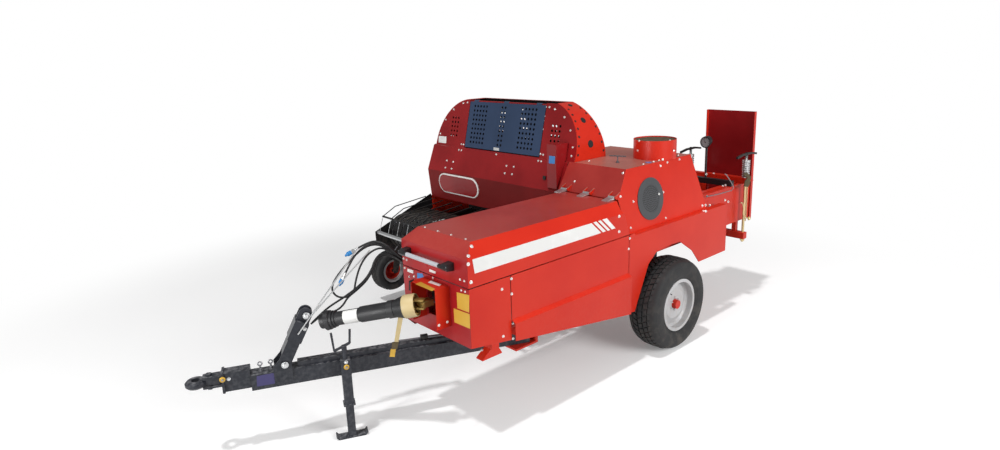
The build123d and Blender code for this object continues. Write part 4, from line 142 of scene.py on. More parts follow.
class Recipe:
    """One material under construction."""

    def __init__(self, name: str) -> None:
        """Start an empty material of that name."""
        self.material = bpy.data.materials.new(name)
        self.material.use_nodes = True
        self.tree = self.material.node_tree
        self.shader = next(n for n in self.tree.nodes if n.type == "BSDF_PRINCIPLED")
        coordinates = self.tree.nodes.new("ShaderNodeTexCoord")
        self.place = Value(self, coordinates.outputs["Object"])
        geometry = self.tree.nodes.new("ShaderNodeNewGeometry")
        self.facing = Value(self, geometry.outputs["Normal"])

    def node(
        self,
        kind: str,
        settings: Optional[dict] = None,
        inputs: Optional[dict] = None,
        output: int = 0,
    ) -> Value:
        """Add a node, set it up and feed its sockets.

        Args:
            kind: the node's type.
            settings: its properties, set first.
            inputs: values or wrapped sockets by input index or name.
            output: the output that is returned.

        Returns:
            The wrapped output socket.
        """
        made = self.tree.nodes.new(kind)
        for key, value in (settings or {}).items():
            setattr(made, key, value)
        for key, value in (inputs or {}).items():
            self.feed(made.inputs[key], value)
        return Value(self, made.outputs[output])

    def feed(self, socket: bpy.types.NodeSocket, value: object) -> None:
        """Link a wrapped socket into a socket, or set a plain value on it."""
        if isinstance(value, Value):
            self.tree.links.new(value.socket, socket)
        elif isinstance(value, (tuple, list)) and socket.type == "RGBA" and len(value) == 3:
            socket.default_value = (*value, 1.0)
        else:
            socket.default_value = value

    def mix(self, factor: object, first: object, second: object) -> Value:
        """Blend two colours by a factor."""
        return self.node("ShaderNodeMix", {"data_type": "RGBA"}, {0: factor, 6: first, 7: second}, 2)

    def noise(self, scale: float, detail: float = 3.0, rough: float = 0.55) -> Value:
        """Noise over the piece's own place, about 0.5 on average."""
        inputs = {"Vector": self.place, "Scale": scale, "Detail": detail, "Roughness": rough}
        return self.node("ShaderNodeTexNoise", None, inputs)

    def height(self) -> Value:
        """Height above the ground."""
        return self.node("ShaderNodeSeparateXYZ", None, {0: self.place}, 2)

    def upward(self) -> Value:
        """How far the surface faces up."""
        return self.node("ShaderNodeSeparateXYZ", None, {0: self.facing}, 2)

    def bump(self, height: Value, strength: float, distance: float, edge: float = 0.0) -> Value:
        """Normal bent by a height.

        Args:
            height: the height to follow.
            strength: how far it bends the normal.
            distance: metres of relief at full height.
            edge: radius that rounds the edges, or 0 for none.

        Returns:
            The bent normal.
        """
        inputs = {"Strength": strength, "Distance": distance, "Height": height}
        if edge:
            inputs["Normal"] = self.node("ShaderNodeBevel", {"samples": 4}, {"Radius": edge})
        return self.node("ShaderNodeBump", None, inputs)

    def done(self, fixed: Optional[dict] = None, **links: object) -> bpy.types.Material:
        """Set the shader's sockets and hand the material over.

        Args:
            fixed: plain values by the socket's own name.
            links: wrapped sockets by the short names below.

        Returns:
            The finished material.
        """
        names = {"colour": "Base Color", "rough": "Roughness", "metal": "Metallic", "normal": "Normal"}
        for key, value in links.items():
            self.feed(self.shader.inputs[names[key]], value)
        for key, value in (fixed or {}).items():
            self.feed(self.shader.inputs[key], value)
        return self.material


@dataclass(frozen=True)
class Paint:
    """Enamel on sheet steel, with orange peel, a little dust and rounded edges."""

    name: str
    colour: Point
    deep: Point
    rough: float = 0.30
    coat: float = 0.35
    dust: float = 0.18
    edge: float = 0.0025
    settled: float = 0.4
    dust_colour: Point = (0.42, 0.33, 0.25)

    def make(self) -> bpy.types.Material:
        """Build the material."""
        mat = Recipe(self.name)
        cloud = mat.noise(1.7, 4.0)
        fine = mat.noise(38.0, 3.0)
        peel = mat.noise(420.0, 2.0)
        paint = mat.mix(cloud.ramp(0.35, 0.7), self.colour, self.deep)
        low = 1.0 - mat.height().ramp(0.25, 0.95)
        up = mat.upward().ramp(0.6, 1.0)
        dusty = (low * 0.55 + up * self.settled) * fine.ramp(0.35, 0.72) * self.dust
        colour = mat.mix(dusty, paint, self.dust_colour)
        rough = self.rough + dusty * 0.8 + (cloud - 0.5) * 0.12
        normal = mat.bump(peel, 0.05, 0.0006, self.edge)
        fixed = {"Coat Weight": self.coat, "Coat Roughness": 0.12, "Specular IOR Level": 0.24}
        return mat.done(fixed, colour=colour, rough=rough, normal=normal)


@dataclass(frozen=True)
class BareMetal:
    """Plated, cast or forged metal with patchy shine."""

    name: str
    colour: Point
    stain: Point
    rough: float = 0.35
    metallic: float = 0.9
    grain: float = 60.0
    depth: float = 0.12
    stained: float = 0.35

    def make(self) -> bpy.types.Material:
        """Build the material."""
        mat = Recipe(self.name)
        patch = mat.noise(9.0, 5.0, 0.65)
        grain = mat.noise(self.grain, 3.0)
        worn = patch.ramp(0.48, 0.74) * self.stained
        colour = mat.mix(worn, self.colour, self.stain)
        rough = self.rough + worn * 0.35 + (grain - 0.5) * 0.15
        metal = self.metallic - worn * 0.4
        normal = mat.bump(grain, self.depth, 0.0008, 0.0015)
        return mat.done(None, colour=colour, rough=rough, metal=metal, normal=normal)


@dataclass(frozen=True)
class Rubber:
    """Tyre or hose rubber with dust in its hollows."""

    name: str
    colour: Point
    dust: Point = (0.16, 0.14, 0.12)
    dusty: float = 0.4
    rough: float = 0.72

    def make(self) -> bpy.types.Material:
        """Build the material."""
        mat = Recipe(self.name)
        patch = mat.noise(14.0, 5.0, 0.6)
        grain = mat.noise(260.0, 2.0)
        low = 1.0 - mat.height().ramp(0.0, 0.5)
        film = patch.ramp(0.42, 0.75) * (0.35 + low * 0.65) * self.dusty
        colour = mat.mix(film, self.colour, self.dust)
        rough = self.rough + film * 0.25 - (grain - 0.5) * 0.1
        return mat.done(None, colour=colour, rough=rough, normal=mat.bump(grain, 0.25, 0.0007))


@dataclass(frozen=True)
class Plastic:
    """Moulded plastic with a fine skin."""

    name: str
    colour: Point
    rough: float = 0.42
    grain: float = 320.0

    def make(self) -> bpy.types.Material:
        """Build the material."""
        mat = Recipe(self.name)
        patch = mat.noise(7.0, 4.0)
        skin = mat.noise(self.grain, 2.0)
        worn = patch.ramp(0.5, 0.8)
        lighter = tuple(min(1.0, c * 1.25 + 0.012) for c in self.colour)
        colour = mat.mix(worn * 0.5, self.colour, lighter)
        rough = self.rough + worn * 0.15
        return mat.done(None, colour=colour, rough=rough, normal=mat.bump(skin, 0.12, 0.0005, 0.001))


class Finish(Enum):
    """Every finish on the machine."""

    RED = Paint("red enamel", (0.62, 0.024, 0.008), (0.56, 0.017, 0.006), 0.36, 0.06, 0.09)
    # Painted shade: a darker copy of the red for fronts that stand in shade.
    CRIMSON = Paint("painted shade red enamel", (0.30, 0.012, 0.014), (0.22, 0.007, 0.009), 0.24, 0.20, 0.10)
    # Painted shade and painted sheen: the red of the upward decks, darker, and tinted pale where the sky is
    # reflected.
    DECK = Paint("red enamel with painted shade and sheen", (0.42, 0.040, 0.032), (0.33, 0.024, 0.020), 0.36, 0.12, 0.20)
    # Painted sheen with real dust: a pale pink-red for the housing's top, where the sky's sheen lies.
    DUSTY = Paint("red enamel with dust and painted sheen", (0.44, 0.13, 0.10), (0.36, 0.09, 0.07), 0.42, 0.1, 0.5)
    MAROON = Paint("shaded red enamel", (0.37, 0.014, 0.016), (0.31, 0.010, 0.012), 0.30, 0.10, 0.08)
    # Painted shade: a dark copy of the red for faces that look down.
    UNDER = Paint("red enamel with painted underside shade", (0.19, 0.006, 0.006), (0.14, 0.004, 0.004), 0.60, 0.0, 0.05)
    # Flat black: painted shade in the openings, in the slot and under the feeder, and the real black of the
    # dial's marks and the knob.
    UNLIT = Plastic("flat black and painted shade", (0.010, 0.008, 0.008), 0.75)
    GREY = Paint(
        "anthracite enamel", (0.024, 0.026, 0.034), (0.016, 0.018, 0.024), 0.36, 0.15, 0.18,
        settled=2.5, dust_colour=(0.36, 0.36, 0.38),
    )
    BLACK = Paint("black enamel", (0.012, 0.012, 0.013), (0.008, 0.008, 0.009), 0.42, 0.1, 0.3)
    SLATE = Paint("slate blue enamel", (0.036, 0.062, 0.125), (0.028, 0.050, 0.102), 0.36, 0.2, 0.15)
    SILVER = Paint("silver wheel enamel", (0.55, 0.55, 0.56), (0.46, 0.46, 0.47), 0.34, 0.2, 0.4)
    ZINC = BareMetal("zinc plate", (0.62, 0.63, 0.64), (0.38, 0.35, 0.28))
    BRIGHT = BareMetal(
        "bright zinc plate", (0.88, 0.88, 0.86), (0.66, 0.62, 0.52), 0.28, 0.55, depth=0.08, stained=0.25,
    )
    GOLD_ZINC = BareMetal("yellow zinc plate", (0.66, 0.52, 0.27), (0.40, 0.30, 0.16), 0.33)
    STEEL = BareMetal("bare steel", (0.30, 0.30, 0.32), (0.16, 0.12, 0.09), 0.42, 0.85, 90.0, 0.25)
    CAST = BareMetal("cast iron", (0.11, 0.11, 0.12), (0.07, 0.06, 0.05), 0.6, 0.5, 140.0, 0.6)
    BRONZE = BareMetal(
        "yellow chromate casting", (0.42, 0.29, 0.09), (0.20, 0.12, 0.05), 0.42, 0.7, 90.0, 0.5,
    )
    TYRE = Rubber("tyre rubber", (0.011, 0.011, 0.012))
    HOSE = Rubber("hose rubber", (0.008, 0.008, 0.009), (0.05, 0.05, 0.05), 0.25, 0.42)
    BLACK_PLASTIC = Plastic("black plastic", (0.012, 0.012, 0.014))
    CREAM_PLASTIC = Plastic("cream plastic", (0.60, 0.47, 0.24))
    GREY_PLASTIC = Plastic("grey plastic", (0.050, 0.053, 0.058))
    GREY_FACE = Plastic("pale grey face", (0.34, 0.35, 0.36), 0.35)
    BLUE_PLASTIC = Plastic("blue plastic", (0.02, 0.20, 0.50))
    WHITE_FILM = Plastic("white film", (0.80, 0.80, 0.78), 0.35)
    YELLOW_FILM = Plastic("yellow film", (0.62, 0.37, 0.045), 0.40)
    BLUE_FILM = Plastic("blue film", (0.05, 0.22, 0.55), 0.35)
    GRIP = Plastic("silver grip", (0.50, 0.51, 0.55), 0.38)
    VIOLET_FILM = Plastic("violet film", (0.040, 0.034, 0.115), 0.40)
    OLIVE = Paint("olive inside", (0.10, 0.075, 0.035), (0.07, 0.05, 0.025), 0.6, 0.0, 0.5)

    def material(self) -> bpy.types.Material:
        """The finish's material, made on first use."""
        found = bpy.data.materials.get(self.value.name)
        return found or self.value.make()


# ---------------------------------------------------------------- meshes


def square_to(normal: Vector) -> tuple[Vector, Vector]:
    """Two unit vectors square to a normal and to each other."""
    normal = normal.normalized()
    helper = UP if abs(normal.z) < 0.9 else AHEAD
    first = helper.cross(normal).normalized()
    return first, normal.cross(first).normalized()


def spoke(first: Vector, second: Vector, turn: float) -> Vector:
    """Direction turned from the first of two directions towards the second."""
    return first * math.cos(turn) + second * math.sin(turn)


def turns(count: int) -> list[float]:
    """Even angles round a circle, in radians."""
    return [2 * math.pi * index / count for index in range(count)]


def add_object(name: str, data: bpy.types.ID) -> bpy.types.Object:
    """Make an object and put it in the scene."""
    made = bpy.data.objects.new(name, data)
    bpy.context.scene.collection.objects.link(made)
    return made


class Shape:
    """A mesh under construction, in the model's frame."""

    def __init__(self) -> None:
        """Start an empty mesh."""
        self.bm = bmesh.new()

    def ring(self, centre: Vector, first: Vector, second: Vector, radius: float, steps: int) -> list:
        """One ring of vertices about a centre."""
        return [self.bm.verts.new(centre + spoke(first, second, turn) * radius) for turn in turns(steps)]

    def skin(self, low: Sequence, high: Sequence) -> None:
        """Join two rings of equal length with quads."""
        count = len(low)
        for index in range(count):
            after = (index + 1) % count
            self.bm.faces.new((low[index], low[after], high[after], high[index]))

    def lathe(self, centre: Vector, axis: Vector, profile: Profile, steps: int = 48) -> None:
        """Turn a profile about an axis.

        Args:
            centre: where the axis starts.
            axis: its direction.
            profile: points as distance along the axis and radius.
            steps: facets round the axis.
        """
        first, second = square_to(axis)
        along = axis.normalized()
        rings = []
        for distance, radius in profile:
            spot = centre + along * distance
            if radius < 1e-6:
                rings.append([self.bm.verts.new(spot)])
            else:
                rings.append(self.ring(spot, first, second, radius, steps))
        for low, high in zip(rings, rings[1:]):
            if len(low) == 1 and len(high) == 1:
                continue
            if len(low) == 1 or len(high) == 1:
                tip, rim = (low[0], high) if len(low) == 1 else (high[0], low)
                for index in range(len(rim)):
                    self.bm.faces.new((tip, rim[index], rim[(index + 1) % len(rim)]))
            else:
                self.skin(low, high)

    def rod(self, start: Vector, end: Vector, radius: float, steps: int = 16) -> None:
        """Round rod between two points, its ends slightly chamfered."""
        run = end - start
        length = run.length
        edge = min(radius * 0.25, length * 0.2)
        near = [(0, 0), (0, radius - edge), (edge, radius)]
        far = [(length - edge, radius), (length, radius - edge), (length, 0)]
        self.lathe(start, run, near + far, steps)

    def disc(
        self,
        centre: Vector,
        normal: Vector,
        radius: float,
        low: float,
        high: float,
        steps: int,
    ) -> None:
        """Flat disc.

        Args:
            centre: the point that its faces are measured from.
            normal: its axis.
            radius: its radius.
            low: distance of its first face along the axis.
            high: distance of its second face.
            steps: facets round it.
        """
        self.lathe(centre, normal, [(low, 0.0), (low, radius), (high, radius), (high, 0.0)], steps)

    def prism(self, outline: Sequence[Vector], push: Vector) -> None:
        """Solid between an outline and its copy moved by push."""
        low = [self.bm.verts.new(p) for p in outline]
        high = [self.bm.verts.new(p + push) for p in outline]
        self.skin(low, high)
        self.bm.faces.new(list(reversed(low)))
        self.bm.faces.new(high)

    def block(self, centre: Vector, size: Point, turn: float = 0.0) -> None:
        """Upright block.

        Args:
            centre: its centre.
            size: its length, width and height.
            turn: its turn about the vertical, in radians.
        """
        along = Vector((math.cos(turn), math.sin(turn), 0))
        left = Vector((-along.y, along.x, 0))
        half = [s / 2 for s in size]
        base = centre - Vector((0, 0, half[2]))
        signs = ((-1, -1), (1, -1), (1, 1), (-1, 1))
        corners = [base + along * (a * half[0]) + left * (b * half[1]) for a, b in signs]
        self.prism(corners, Vector((0, 0, size[2])))

    def bolt(self, seat: Vector, normal: Vector, radius: float = 0.008, washer: bool = True) -> None:
        """Hexagon head, seated at a point.

        Args:
            seat: the point.
            normal: the way the head points.
            radius: the head's radius.
            washer: whether a washer lies under it.
        """
        along = normal.normalized()
        base = 0.0
        if washer:
            base = radius * 0.22
            self.lathe(seat, along, [(0, radius * 1.45), (base, radius * 1.45), (base, 0)], 14)
        head = radius * 0.95
        profile = [(0, radius), (head * 0.82, radius), (head, radius * 0.8), (head, 0)]
        self.lathe(seat + along * base, along, profile, 6)

    def tube(self, path: Sequence[Vector], radius: float, steps: int = 14, closed: bool = False) -> None:
        """Round tube along points, its sections kept from twisting.

        Args:
            path: the points.
            radius: the tube's radius.
            steps: facets round it.
            closed: whether the last point joins the first.
        """
        count = len(path)
        previous = None
        rings = []
        for index, spot in enumerate(path):
            before = path[index - 1] if (index or closed) else spot
            after = path[(index + 1) % count] if (index < count - 1 or closed) else spot
            heading = (after - before).normalized()
            if previous is None:
                previous, _ = square_to(heading)
            first = (previous - heading * previous.dot(heading)).normalized()
            previous = first
            rings.append(self.ring(spot, first, heading.cross(first), radius, steps))
        for low, high in zip(rings, rings[1:]):
            self.skin(low, high)
        if closed:
            self.skin(rings[-1], rings[0])
        else:
            self.bm.faces.new(list(reversed(rings[0])))
            self.bm.faces.new(rings[-1])

    def build(
        self,
        name: str,
        finish: Finish,
        body: str,
        slot: str,
        smooth: float = 35.0,
        bevel: float = 0.0,
        replaces: Sequence[str] = (),
    ) -> bpy.types.Object:
        """Turn the mesh into a piece that rides on a body.

        Args:
            name: the piece's name.
            finish: its finish.
            body: the body that it rides on.
            slot: the record's material slot, or nothing where it has none; not used.
            smooth: edges flatter than this angle, in degrees, shade smooth.
            bevel: width of a bevel on its sharp edges, in metres.
            replaces: the nodes that it stands for.

        Returns:
            The new object.
        """
        bmesh.ops.remove_doubles(self.bm, verts=self.bm.verts, dist=1e-6)
        bmesh.ops.recalc_face_normals(self.bm, faces=self.bm.faces)
        mesh = bpy.data.meshes.new(name)
        self.bm.to_mesh(mesh)
        self.bm.free()
        piece = add_object(name, mesh)
        mesh.materials.append(finish.material())
        if bevel:
            edge = piece.modifiers.new("edge", "BEVEL")
            edge.width = bevel
            edge.segments = 2
            edge.limit_method = "ANGLE"
            edge.angle_limit = math.radians(40)
            edge.harden_normals = False
        for face in mesh.polygons:
            face.use_smooth = True
        split = piece.modifiers.new("smooth by angle", "EDGE_SPLIT")
        split.split_angle = math.radians(smooth)
        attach(piece, body)
        if replaces:
            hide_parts(*replaces)
        log.info("%s: %d vertices on %s", name, len(mesh.vertices), body)
        return piece


# ---------------------------------------------------------------- studio


@dataclass
class Studio:
    """Camera, floor and soft lights."""

    camera_at: Point = (3.3685, 4.0650, 2.3800)
    heading: float = 228.051
    pitch: float = -13.483
    roll: float = -1.915
    focal: float = 23.51
    shift_x: float = -0.0033
    shift_y: float = -0.0179
    sensor: float = 36.0
    photo_width: float = 1000.0
    photo_height: float = 450.0
    lamps: tuple = (
        # name, place, aim, watts, metres across
        ("key", (-1.0, 7.8, 3.6), (-0.4, 0.6, 0.8), 430.0, 3.5),
        ("fill", (7.0, 0.8, 1.5), (0.2, 0.4, 0.8), 230.0, 3.0),
    )
    sun: float = 1.30
    sun_angle: float = 3.0
    sun_from: Point = (0.32, 0.02, 1.0)
    world: float = 0.27
    floor_radius: float = 40.0
    floor_depth: float = 0.0005
    floor_dark: Point = (0.93, 0.93, 0.93)
    floor_pale: Point = (0.95, 0.95, 0.95)
    floor_lent: Point = (0.36, 0.36, 0.36)  # what the floor lends to the machine
    floor_glow: float = 0.12
    paper_near: float = 3.2  # the floor starts to fade to white
    paper_far: float = 5.2

    def axes(self) -> tuple[Vector, Vector, Vector]:
        """The camera's right, up and forward directions."""
        yaw, pitch, roll = (math.radians(a) for a in (self.heading, self.pitch, self.roll))
        forward = Vector((math.cos(yaw) * math.cos(pitch), math.sin(yaw) * math.cos(pitch), math.sin(pitch)))
        right = forward.cross(UP).normalized()
        up = right.cross(forward)
        rolled_up = up * math.cos(roll) - right * math.sin(roll)
        return spoke(right, up, roll), rolled_up, forward

    def ray(self, across: float, down: float) -> tuple[Vector, Vector]:
        """Line of sight through a spot of the photograph.

        Args:
            across: pixels from its left edge.
            down: pixels from its top edge.

        Returns:
            The camera's place and the direction of sight.
        """
        right, up, forward = self.axes()
        wide = self.sensor / self.focal
        along = (across / self.photo_width - 0.5 + self.shift_x) * wide
        rise = ((self.photo_height / 2 - down) / self.photo_width + self.shift_y) * wide
        return Vector(self.camera_at), (forward + right * along + up * rise).normalized()

    def set_camera(self) -> None:
        """Place the camera as the photograph's."""
        data = bpy.data.cameras.new("camera")
        camera = add_object("camera", data)
        right, up, forward = self.axes()
        turn = Matrix((right, up, -forward)).transposed()
        camera.matrix_world = Matrix.Translation(self.camera_at) @ turn.to_4x4()
        data.sensor_width = self.sensor
        data.lens = self.focal
        data.shift_x = self.shift_x
        data.shift_y = self.shift_y
        data.clip_end = 100.0
        bpy.context.scene.camera = camera

    def lay_floor(self) -> None:
        """Lay the plain pale floor."""
        shape = Shape()
        rim = shape.ring(Vector((0, 0, -self.floor_depth)), AHEAD, LEFT, self.floor_radius, 96)
        shape.bm.faces.new(rim)
        mesh = bpy.data.meshes.new("floor")
        shape.bm.to_mesh(mesh)
        floor = add_object("floor", mesh)
        mesh.materials.append(self.floor_material())

    def floor_material(self) -> bpy.types.Material:
        """White paper that keeps the shadow and shows white to the camera."""
        mat = Recipe("floor")
        grain = mat.noise(3.0, 2.0)
        mat.done(None, colour=mat.mix(grain, self.floor_dark, self.floor_pale), rough=0.9)
        lit = Value(mat, mat.shader.outputs[0])
        glow = mat.node("ShaderNodeEmission", None, {"Strength": self.floor_glow})
        shaded = mat.node("ShaderNodeAddShader", None, {0: lit, 1: glow})
        paper = mat.node("ShaderNodeEmission", None, {"Strength": 1.0})
        distance = mat.node("ShaderNodeVectorMath", {"operation": "LENGTH"}, {0: mat.place}, 1)
        white = distance.ramp(self.paper_near, self.paper_far)
        fade = mat.node("ShaderNodeMixShader", None, {0: white, 1: shaded, 2: paper})
        lent = mat.node("ShaderNodeBsdfDiffuse", None, {"Color": self.floor_lent})
        path = mat.tree.nodes.new("ShaderNodeLightPath")
        rays = [Value(mat, path.outputs[f"Is {name} Ray"]) for name in ("Camera", "Glossy")]
        seen = mat.node("ShaderNodeMath", {"operation": "MAXIMUM"}, dict(enumerate(rays)))
        choice = mat.node("ShaderNodeMixShader", None, {0: seen, 1: lent, 2: fade})
        out = next(n for n in mat.tree.nodes if n.type == "OUTPUT_MATERIAL")
        mat.feed(out.inputs[0], choice)
        return mat.material

    def lamp(self, name: str, place: Point, aim: Point, power: float, size: float) -> None:
        """Hang one soft square lamp.

        Args:
            name: its name.
            place: where it hangs.
            aim: the point that it faces.
            power: its power in watts.
            size: its side in metres.
        """
        data = bpy.data.lights.new(name, "AREA")
        data.energy = power
        data.size = size
        lamp = add_object(name, data)
        lamp.location = place
        lamp.rotation_euler = (Vector(aim) - Vector(place)).to_track_quat("-Z", "Y").to_euler()

    def light(self) -> None:
        """Hang the lamps and set the world."""
        for lamp in self.lamps:
            self.lamp(*lamp)
        sun = bpy.data.lights.new("top", "SUN")
        sun.energy = self.sun
        sun.angle = math.radians(self.sun_angle)
        high = add_object("top", sun)
        high.rotation_euler = Vector(self.sun_from).to_track_quat("Z", "Y").to_euler()
        world = bpy.data.worlds.new("world")
        bpy.context.scene.world = world
        world.use_nodes = True
        tree = world.node_tree
        back = next(n for n in tree.nodes if n.type == "BACKGROUND")
        shown = tree.nodes.new("ShaderNodeBackground")
        for sky, strength in ((back, self.world), (shown, 1.0)):
            sky.inputs["Color"].default_value = (1, 1, 1, 1)
            sky.inputs["Strength"].default_value = strength
        path = tree.nodes.new("ShaderNodeLightPath")
        choice = tree.nodes.new("ShaderNodeMixShader")
        out = next(n for n in tree.nodes if n.type == "OUTPUT_WORLD")
        sources = (path.outputs["Is Camera Ray"], back.outputs[0], shown.outputs[0])
        for index, source in enumerate(sources):
            tree.links.new(source, choice.inputs[index])
        tree.links.new(choice.outputs[0], out.inputs[0])

    def build(self) -> None:
        """Set the whole studio."""
        self.set_camera()
        self.lay_floor()
        self.light()
        bpy.context.scene.view_settings.view_transform = "Standard"


# ---------------------------------------------------------------- seats


@dataclass(frozen=True)
class Seat:
    """A spot on the machine's skin."""

    spot: Vector
    normal: Vector
    node: str
    body: str


class Skin:
    """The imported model's surfaces, met by lines of sight and by plain rays."""

    def __init__(self, studio: Studio) -> None:
        """Gather every node's faces."""
        self.studio = studio
        bodies = frame["record"]["behaviour"]["bodies"]
        self.body_of = {node: body for body, nodes in bodies.items() for node in nodes}
        self.owners: list[str] = []
        spots: list[Vector] = []
        faces: list[list[int]] = []
        for name, node in frame["nodes"].items():
            base = len(spots)
            spots.extend(v.co.copy() for v in node.data.vertices)
            for face in node.data.polygons:
                faces.append([base + index for index in face.vertices])
                self.owners.append(name)
        self.tree = BVHTree.FromPolygons(spots, faces)

    def meet(self, start: Vector, heading: Vector) -> Seat:
        """First surface that a ray meets, its normal turned against the ray.

        Args:
            start: where the ray starts.
            heading: its direction.

        Returns:
            The seat that it meets.
        """
        spot, normal, index, _ = self.tree.ray_cast(start, heading)
        if spot is None:
            raise ValueError(f"nothing is met from {tuple(start)} along {tuple(heading)}")
        if normal.dot(heading) > 0:
            normal = -normal
        name = self.owners[index]
        return Seat(spot, normal, name, self.body_of[name])

    def pixel(self, across: float, down: float) -> Seat:
        """The surface behind a spot of the photograph."""
        return self.meet(*self.studio.ray(across, down))

    def on_plane(self, across: float, down: float, spot: Vector, normal: Vector) -> Vector:
        """Where a line of sight meets a plane.

        Args:
            across: pixels from the photograph's left edge.
            down: pixels from its top edge.
            spot: a point of the plane.
            normal: the plane's normal.

        Returns:
            The point where they meet.
        """
        start, heading = self.studio.ray(across, down)
        return start + heading * ((spot - start).dot(normal) / heading.dot(normal))


# ---------------------------------------------------------------- cords


@dataclass
class Hoses:
    """The hydraulic hoses from the cover's corner, with their couplers."""

    diameter: float = 0.013
    start: Vector = field(default_factory=lambda: at(2.030, -0.712, 0.0))
    run: Vector = field(default_factory=lambda: Vector((0.93320, -0.35935, 0.0)))
    out: Vector = field(default_factory=lambda: Vector((-0.35935, -0.93320, 0.0)))
    routes: tuple = (
        # name, length, far end, points in mm: along the plane, out from it, height
        ("coupled_hose_1", 0.433, "connector", (
            (-90, 20, 1012), (-20, 16, 1064), (60, 8, 1158), (138, 4, 1214), (213, 4, 1203), (262, 4, 1180),
        )),
        ("coupled_hose_2", 0.583, "connector", (
            (-90, 38, 1012), (-22, 36, 1060), (62, 26, 1146), (135, 24, 1196), (215, 24, 1184),
            (285, 24, 1130), (330, 24, 1060), (352, 24, 1022),
        )),
        ("looped_hose", 1.514, "object", (
            (-90, 56, 1012), (-22, 54, 1054), (60, 46, 1130), (132, 42, 1180), (215, 42, 1172),
            (300, 42, 1108), (380, 46, 1030), (436, 54, 955), (446, 62, 896), (412, 66, 847),
            (352, 66, 837), (303, 66, 871), (288, 66, 945), (250, 66, 1045), (190, 64, 1120),
            (110, 62, 1150), (40, 62, 1105), (-25, 60, 1035), (-90, 56, 985),
        )),
        ("arm_hose_1", 0.874, "object", (
            (-90, 20, 987), (-30, 22, 1035), (28, 24, 1086), (88, 26, 1119), (149, 26, 1096),
            (178, 26, 1030), (225, 26, 958), (300, 26, 900), (386, 24, 852), (470, 24, 812), (530, 22, 772),
            (590, 20, 722),
        )),
        ("arm_hose_2", 0.880, "object", (
            (-90, 38, 987), (-30, 40, 1028), (24, 42, 1071), (82, 44, 1102), (140, 44, 1080),
            (169, 44, 1018), (214, 44, 944), (286, 44, 886), (352, 44, 845), (385, 44, 795), (430, 44, 766),
            (490, 44, 758), (552, 42, 738), (598, 40, 706),
        )),
    )
    crimp: tuple = (
        (0.0, 0.0078), (0.0, 0.0088), (0.006, 0.0088), (0.007, 0.0080), (0.010, 0.0080), (0.011, 0.0088),
        (0.016, 0.0088), (0.017, 0.0080), (0.020, 0.0080), (0.021, 0.0088), (0.028, 0.0088), (0.030, 0.0080),
        (0.031, 0.0),
    )
    nut: tuple = ((0.0, 0.0), (0.0, 0.0128), (0.017, 0.0128), (0.018, 0.0115), (0.018, 0.0))
    cap: tuple = (
        (0.0, 0.0), (0.0, 0.0125), (0.002, 0.0145), (0.008, 0.0149), (0.010, 0.0138), (0.012, 0.0149),
        (0.026, 0.0146), (0.032, 0.0120), (0.036, 0.0078), (0.046, 0.0070), (0.047, 0.0060), (0.047, 0.0),
    )

    def spot(self, place: Point) -> Vector:
        """Point of a hose from its place in the hose plane."""
        along, out, height = (value / 1000 for value in place)
        return self.start + self.run * along + self.out * out + UP * height

    def coupler(self, name: str, end: Vector, heading: Vector) -> list[bpy.types.Object]:
        """Make one coupler: a steel crimp and nut, and a blue dust cap.

        Args:
            name: the hose's name.
            end: where its hose ends.
            heading: the hose's direction there.

        Returns:
            The two pieces.
        """
        steel = Shape()
        steel.lathe(end, heading, self.crimp, 20)
        steel.lathe(end + heading * 0.030, heading, self.nut, 6)
        steel.disc(end + heading * 0.048, heading, 0.0105, 0.0, 0.004, 20)
        cap = Shape()
        cap.lathe(end + heading * 0.0485, heading, self.cap, 24)
        nodes = ["hose_couplers"]
        metal = steel.build(name + "_coupler", Finish.ZINC, "frame", "zinc", replaces=nodes)
        blue = cap.build(name + "_cap", Finish.BLUE_PLASTIC, "frame", "black_plastic", replaces=nodes)
        return [metal, blue]

    def hose(self, name: str, places: Sequence[Point]) -> bpy.types.Object:
        """One smooth hose along its route.

        Args:
            name: the hose's name.
            places: its route in the hose plane.

        Returns:
            The curve object.
        """
        curve = bpy.data.curves.new(name, "CURVE")
        curve.dimensions = "3D"
        spline = curve.splines.new("NURBS")
        spline.points.add(len(places) - 1)
        for point, place in zip(spline.points, places):
            point.co = (*self.spot(place), 1.0)
        spline.order_u = 3
        spline.use_endpoint_u = True
        spline.resolution_u = 8
        curve.bevel_depth = self.diameter / 2
        curve.bevel_resolution = 4
        curve.use_fill_caps = True
        curve.materials.append(Finish.HOSE.material())
        piece = add_object(name, curve)
        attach(piece, "frame")
        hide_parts("hydraulic_hoses")
        return piece

    def build(self) -> None:
        for name, length, far_end, places in self.routes:
            piece = self.hose(name, places)
            on_it: list = []
            end = self.spot(places[-1])
            heading = (end - self.spot(places[-2])).normalized()
            if far_end == "connector":
                on_it = self.coupler(name, end, heading)
            self.spot(places[0])
            log.info("%s: %.3f m", name, length)


# ---------------------------------------------------------------- wheels


ROAD_ROWS = (-0.086, -0.045, 0.0, 0.045, 0.086)  # places of the tread's rows across the tyre
GAUGE_ROWS = (-0.052, -0.026, 0.0, 0.026, 0.052)


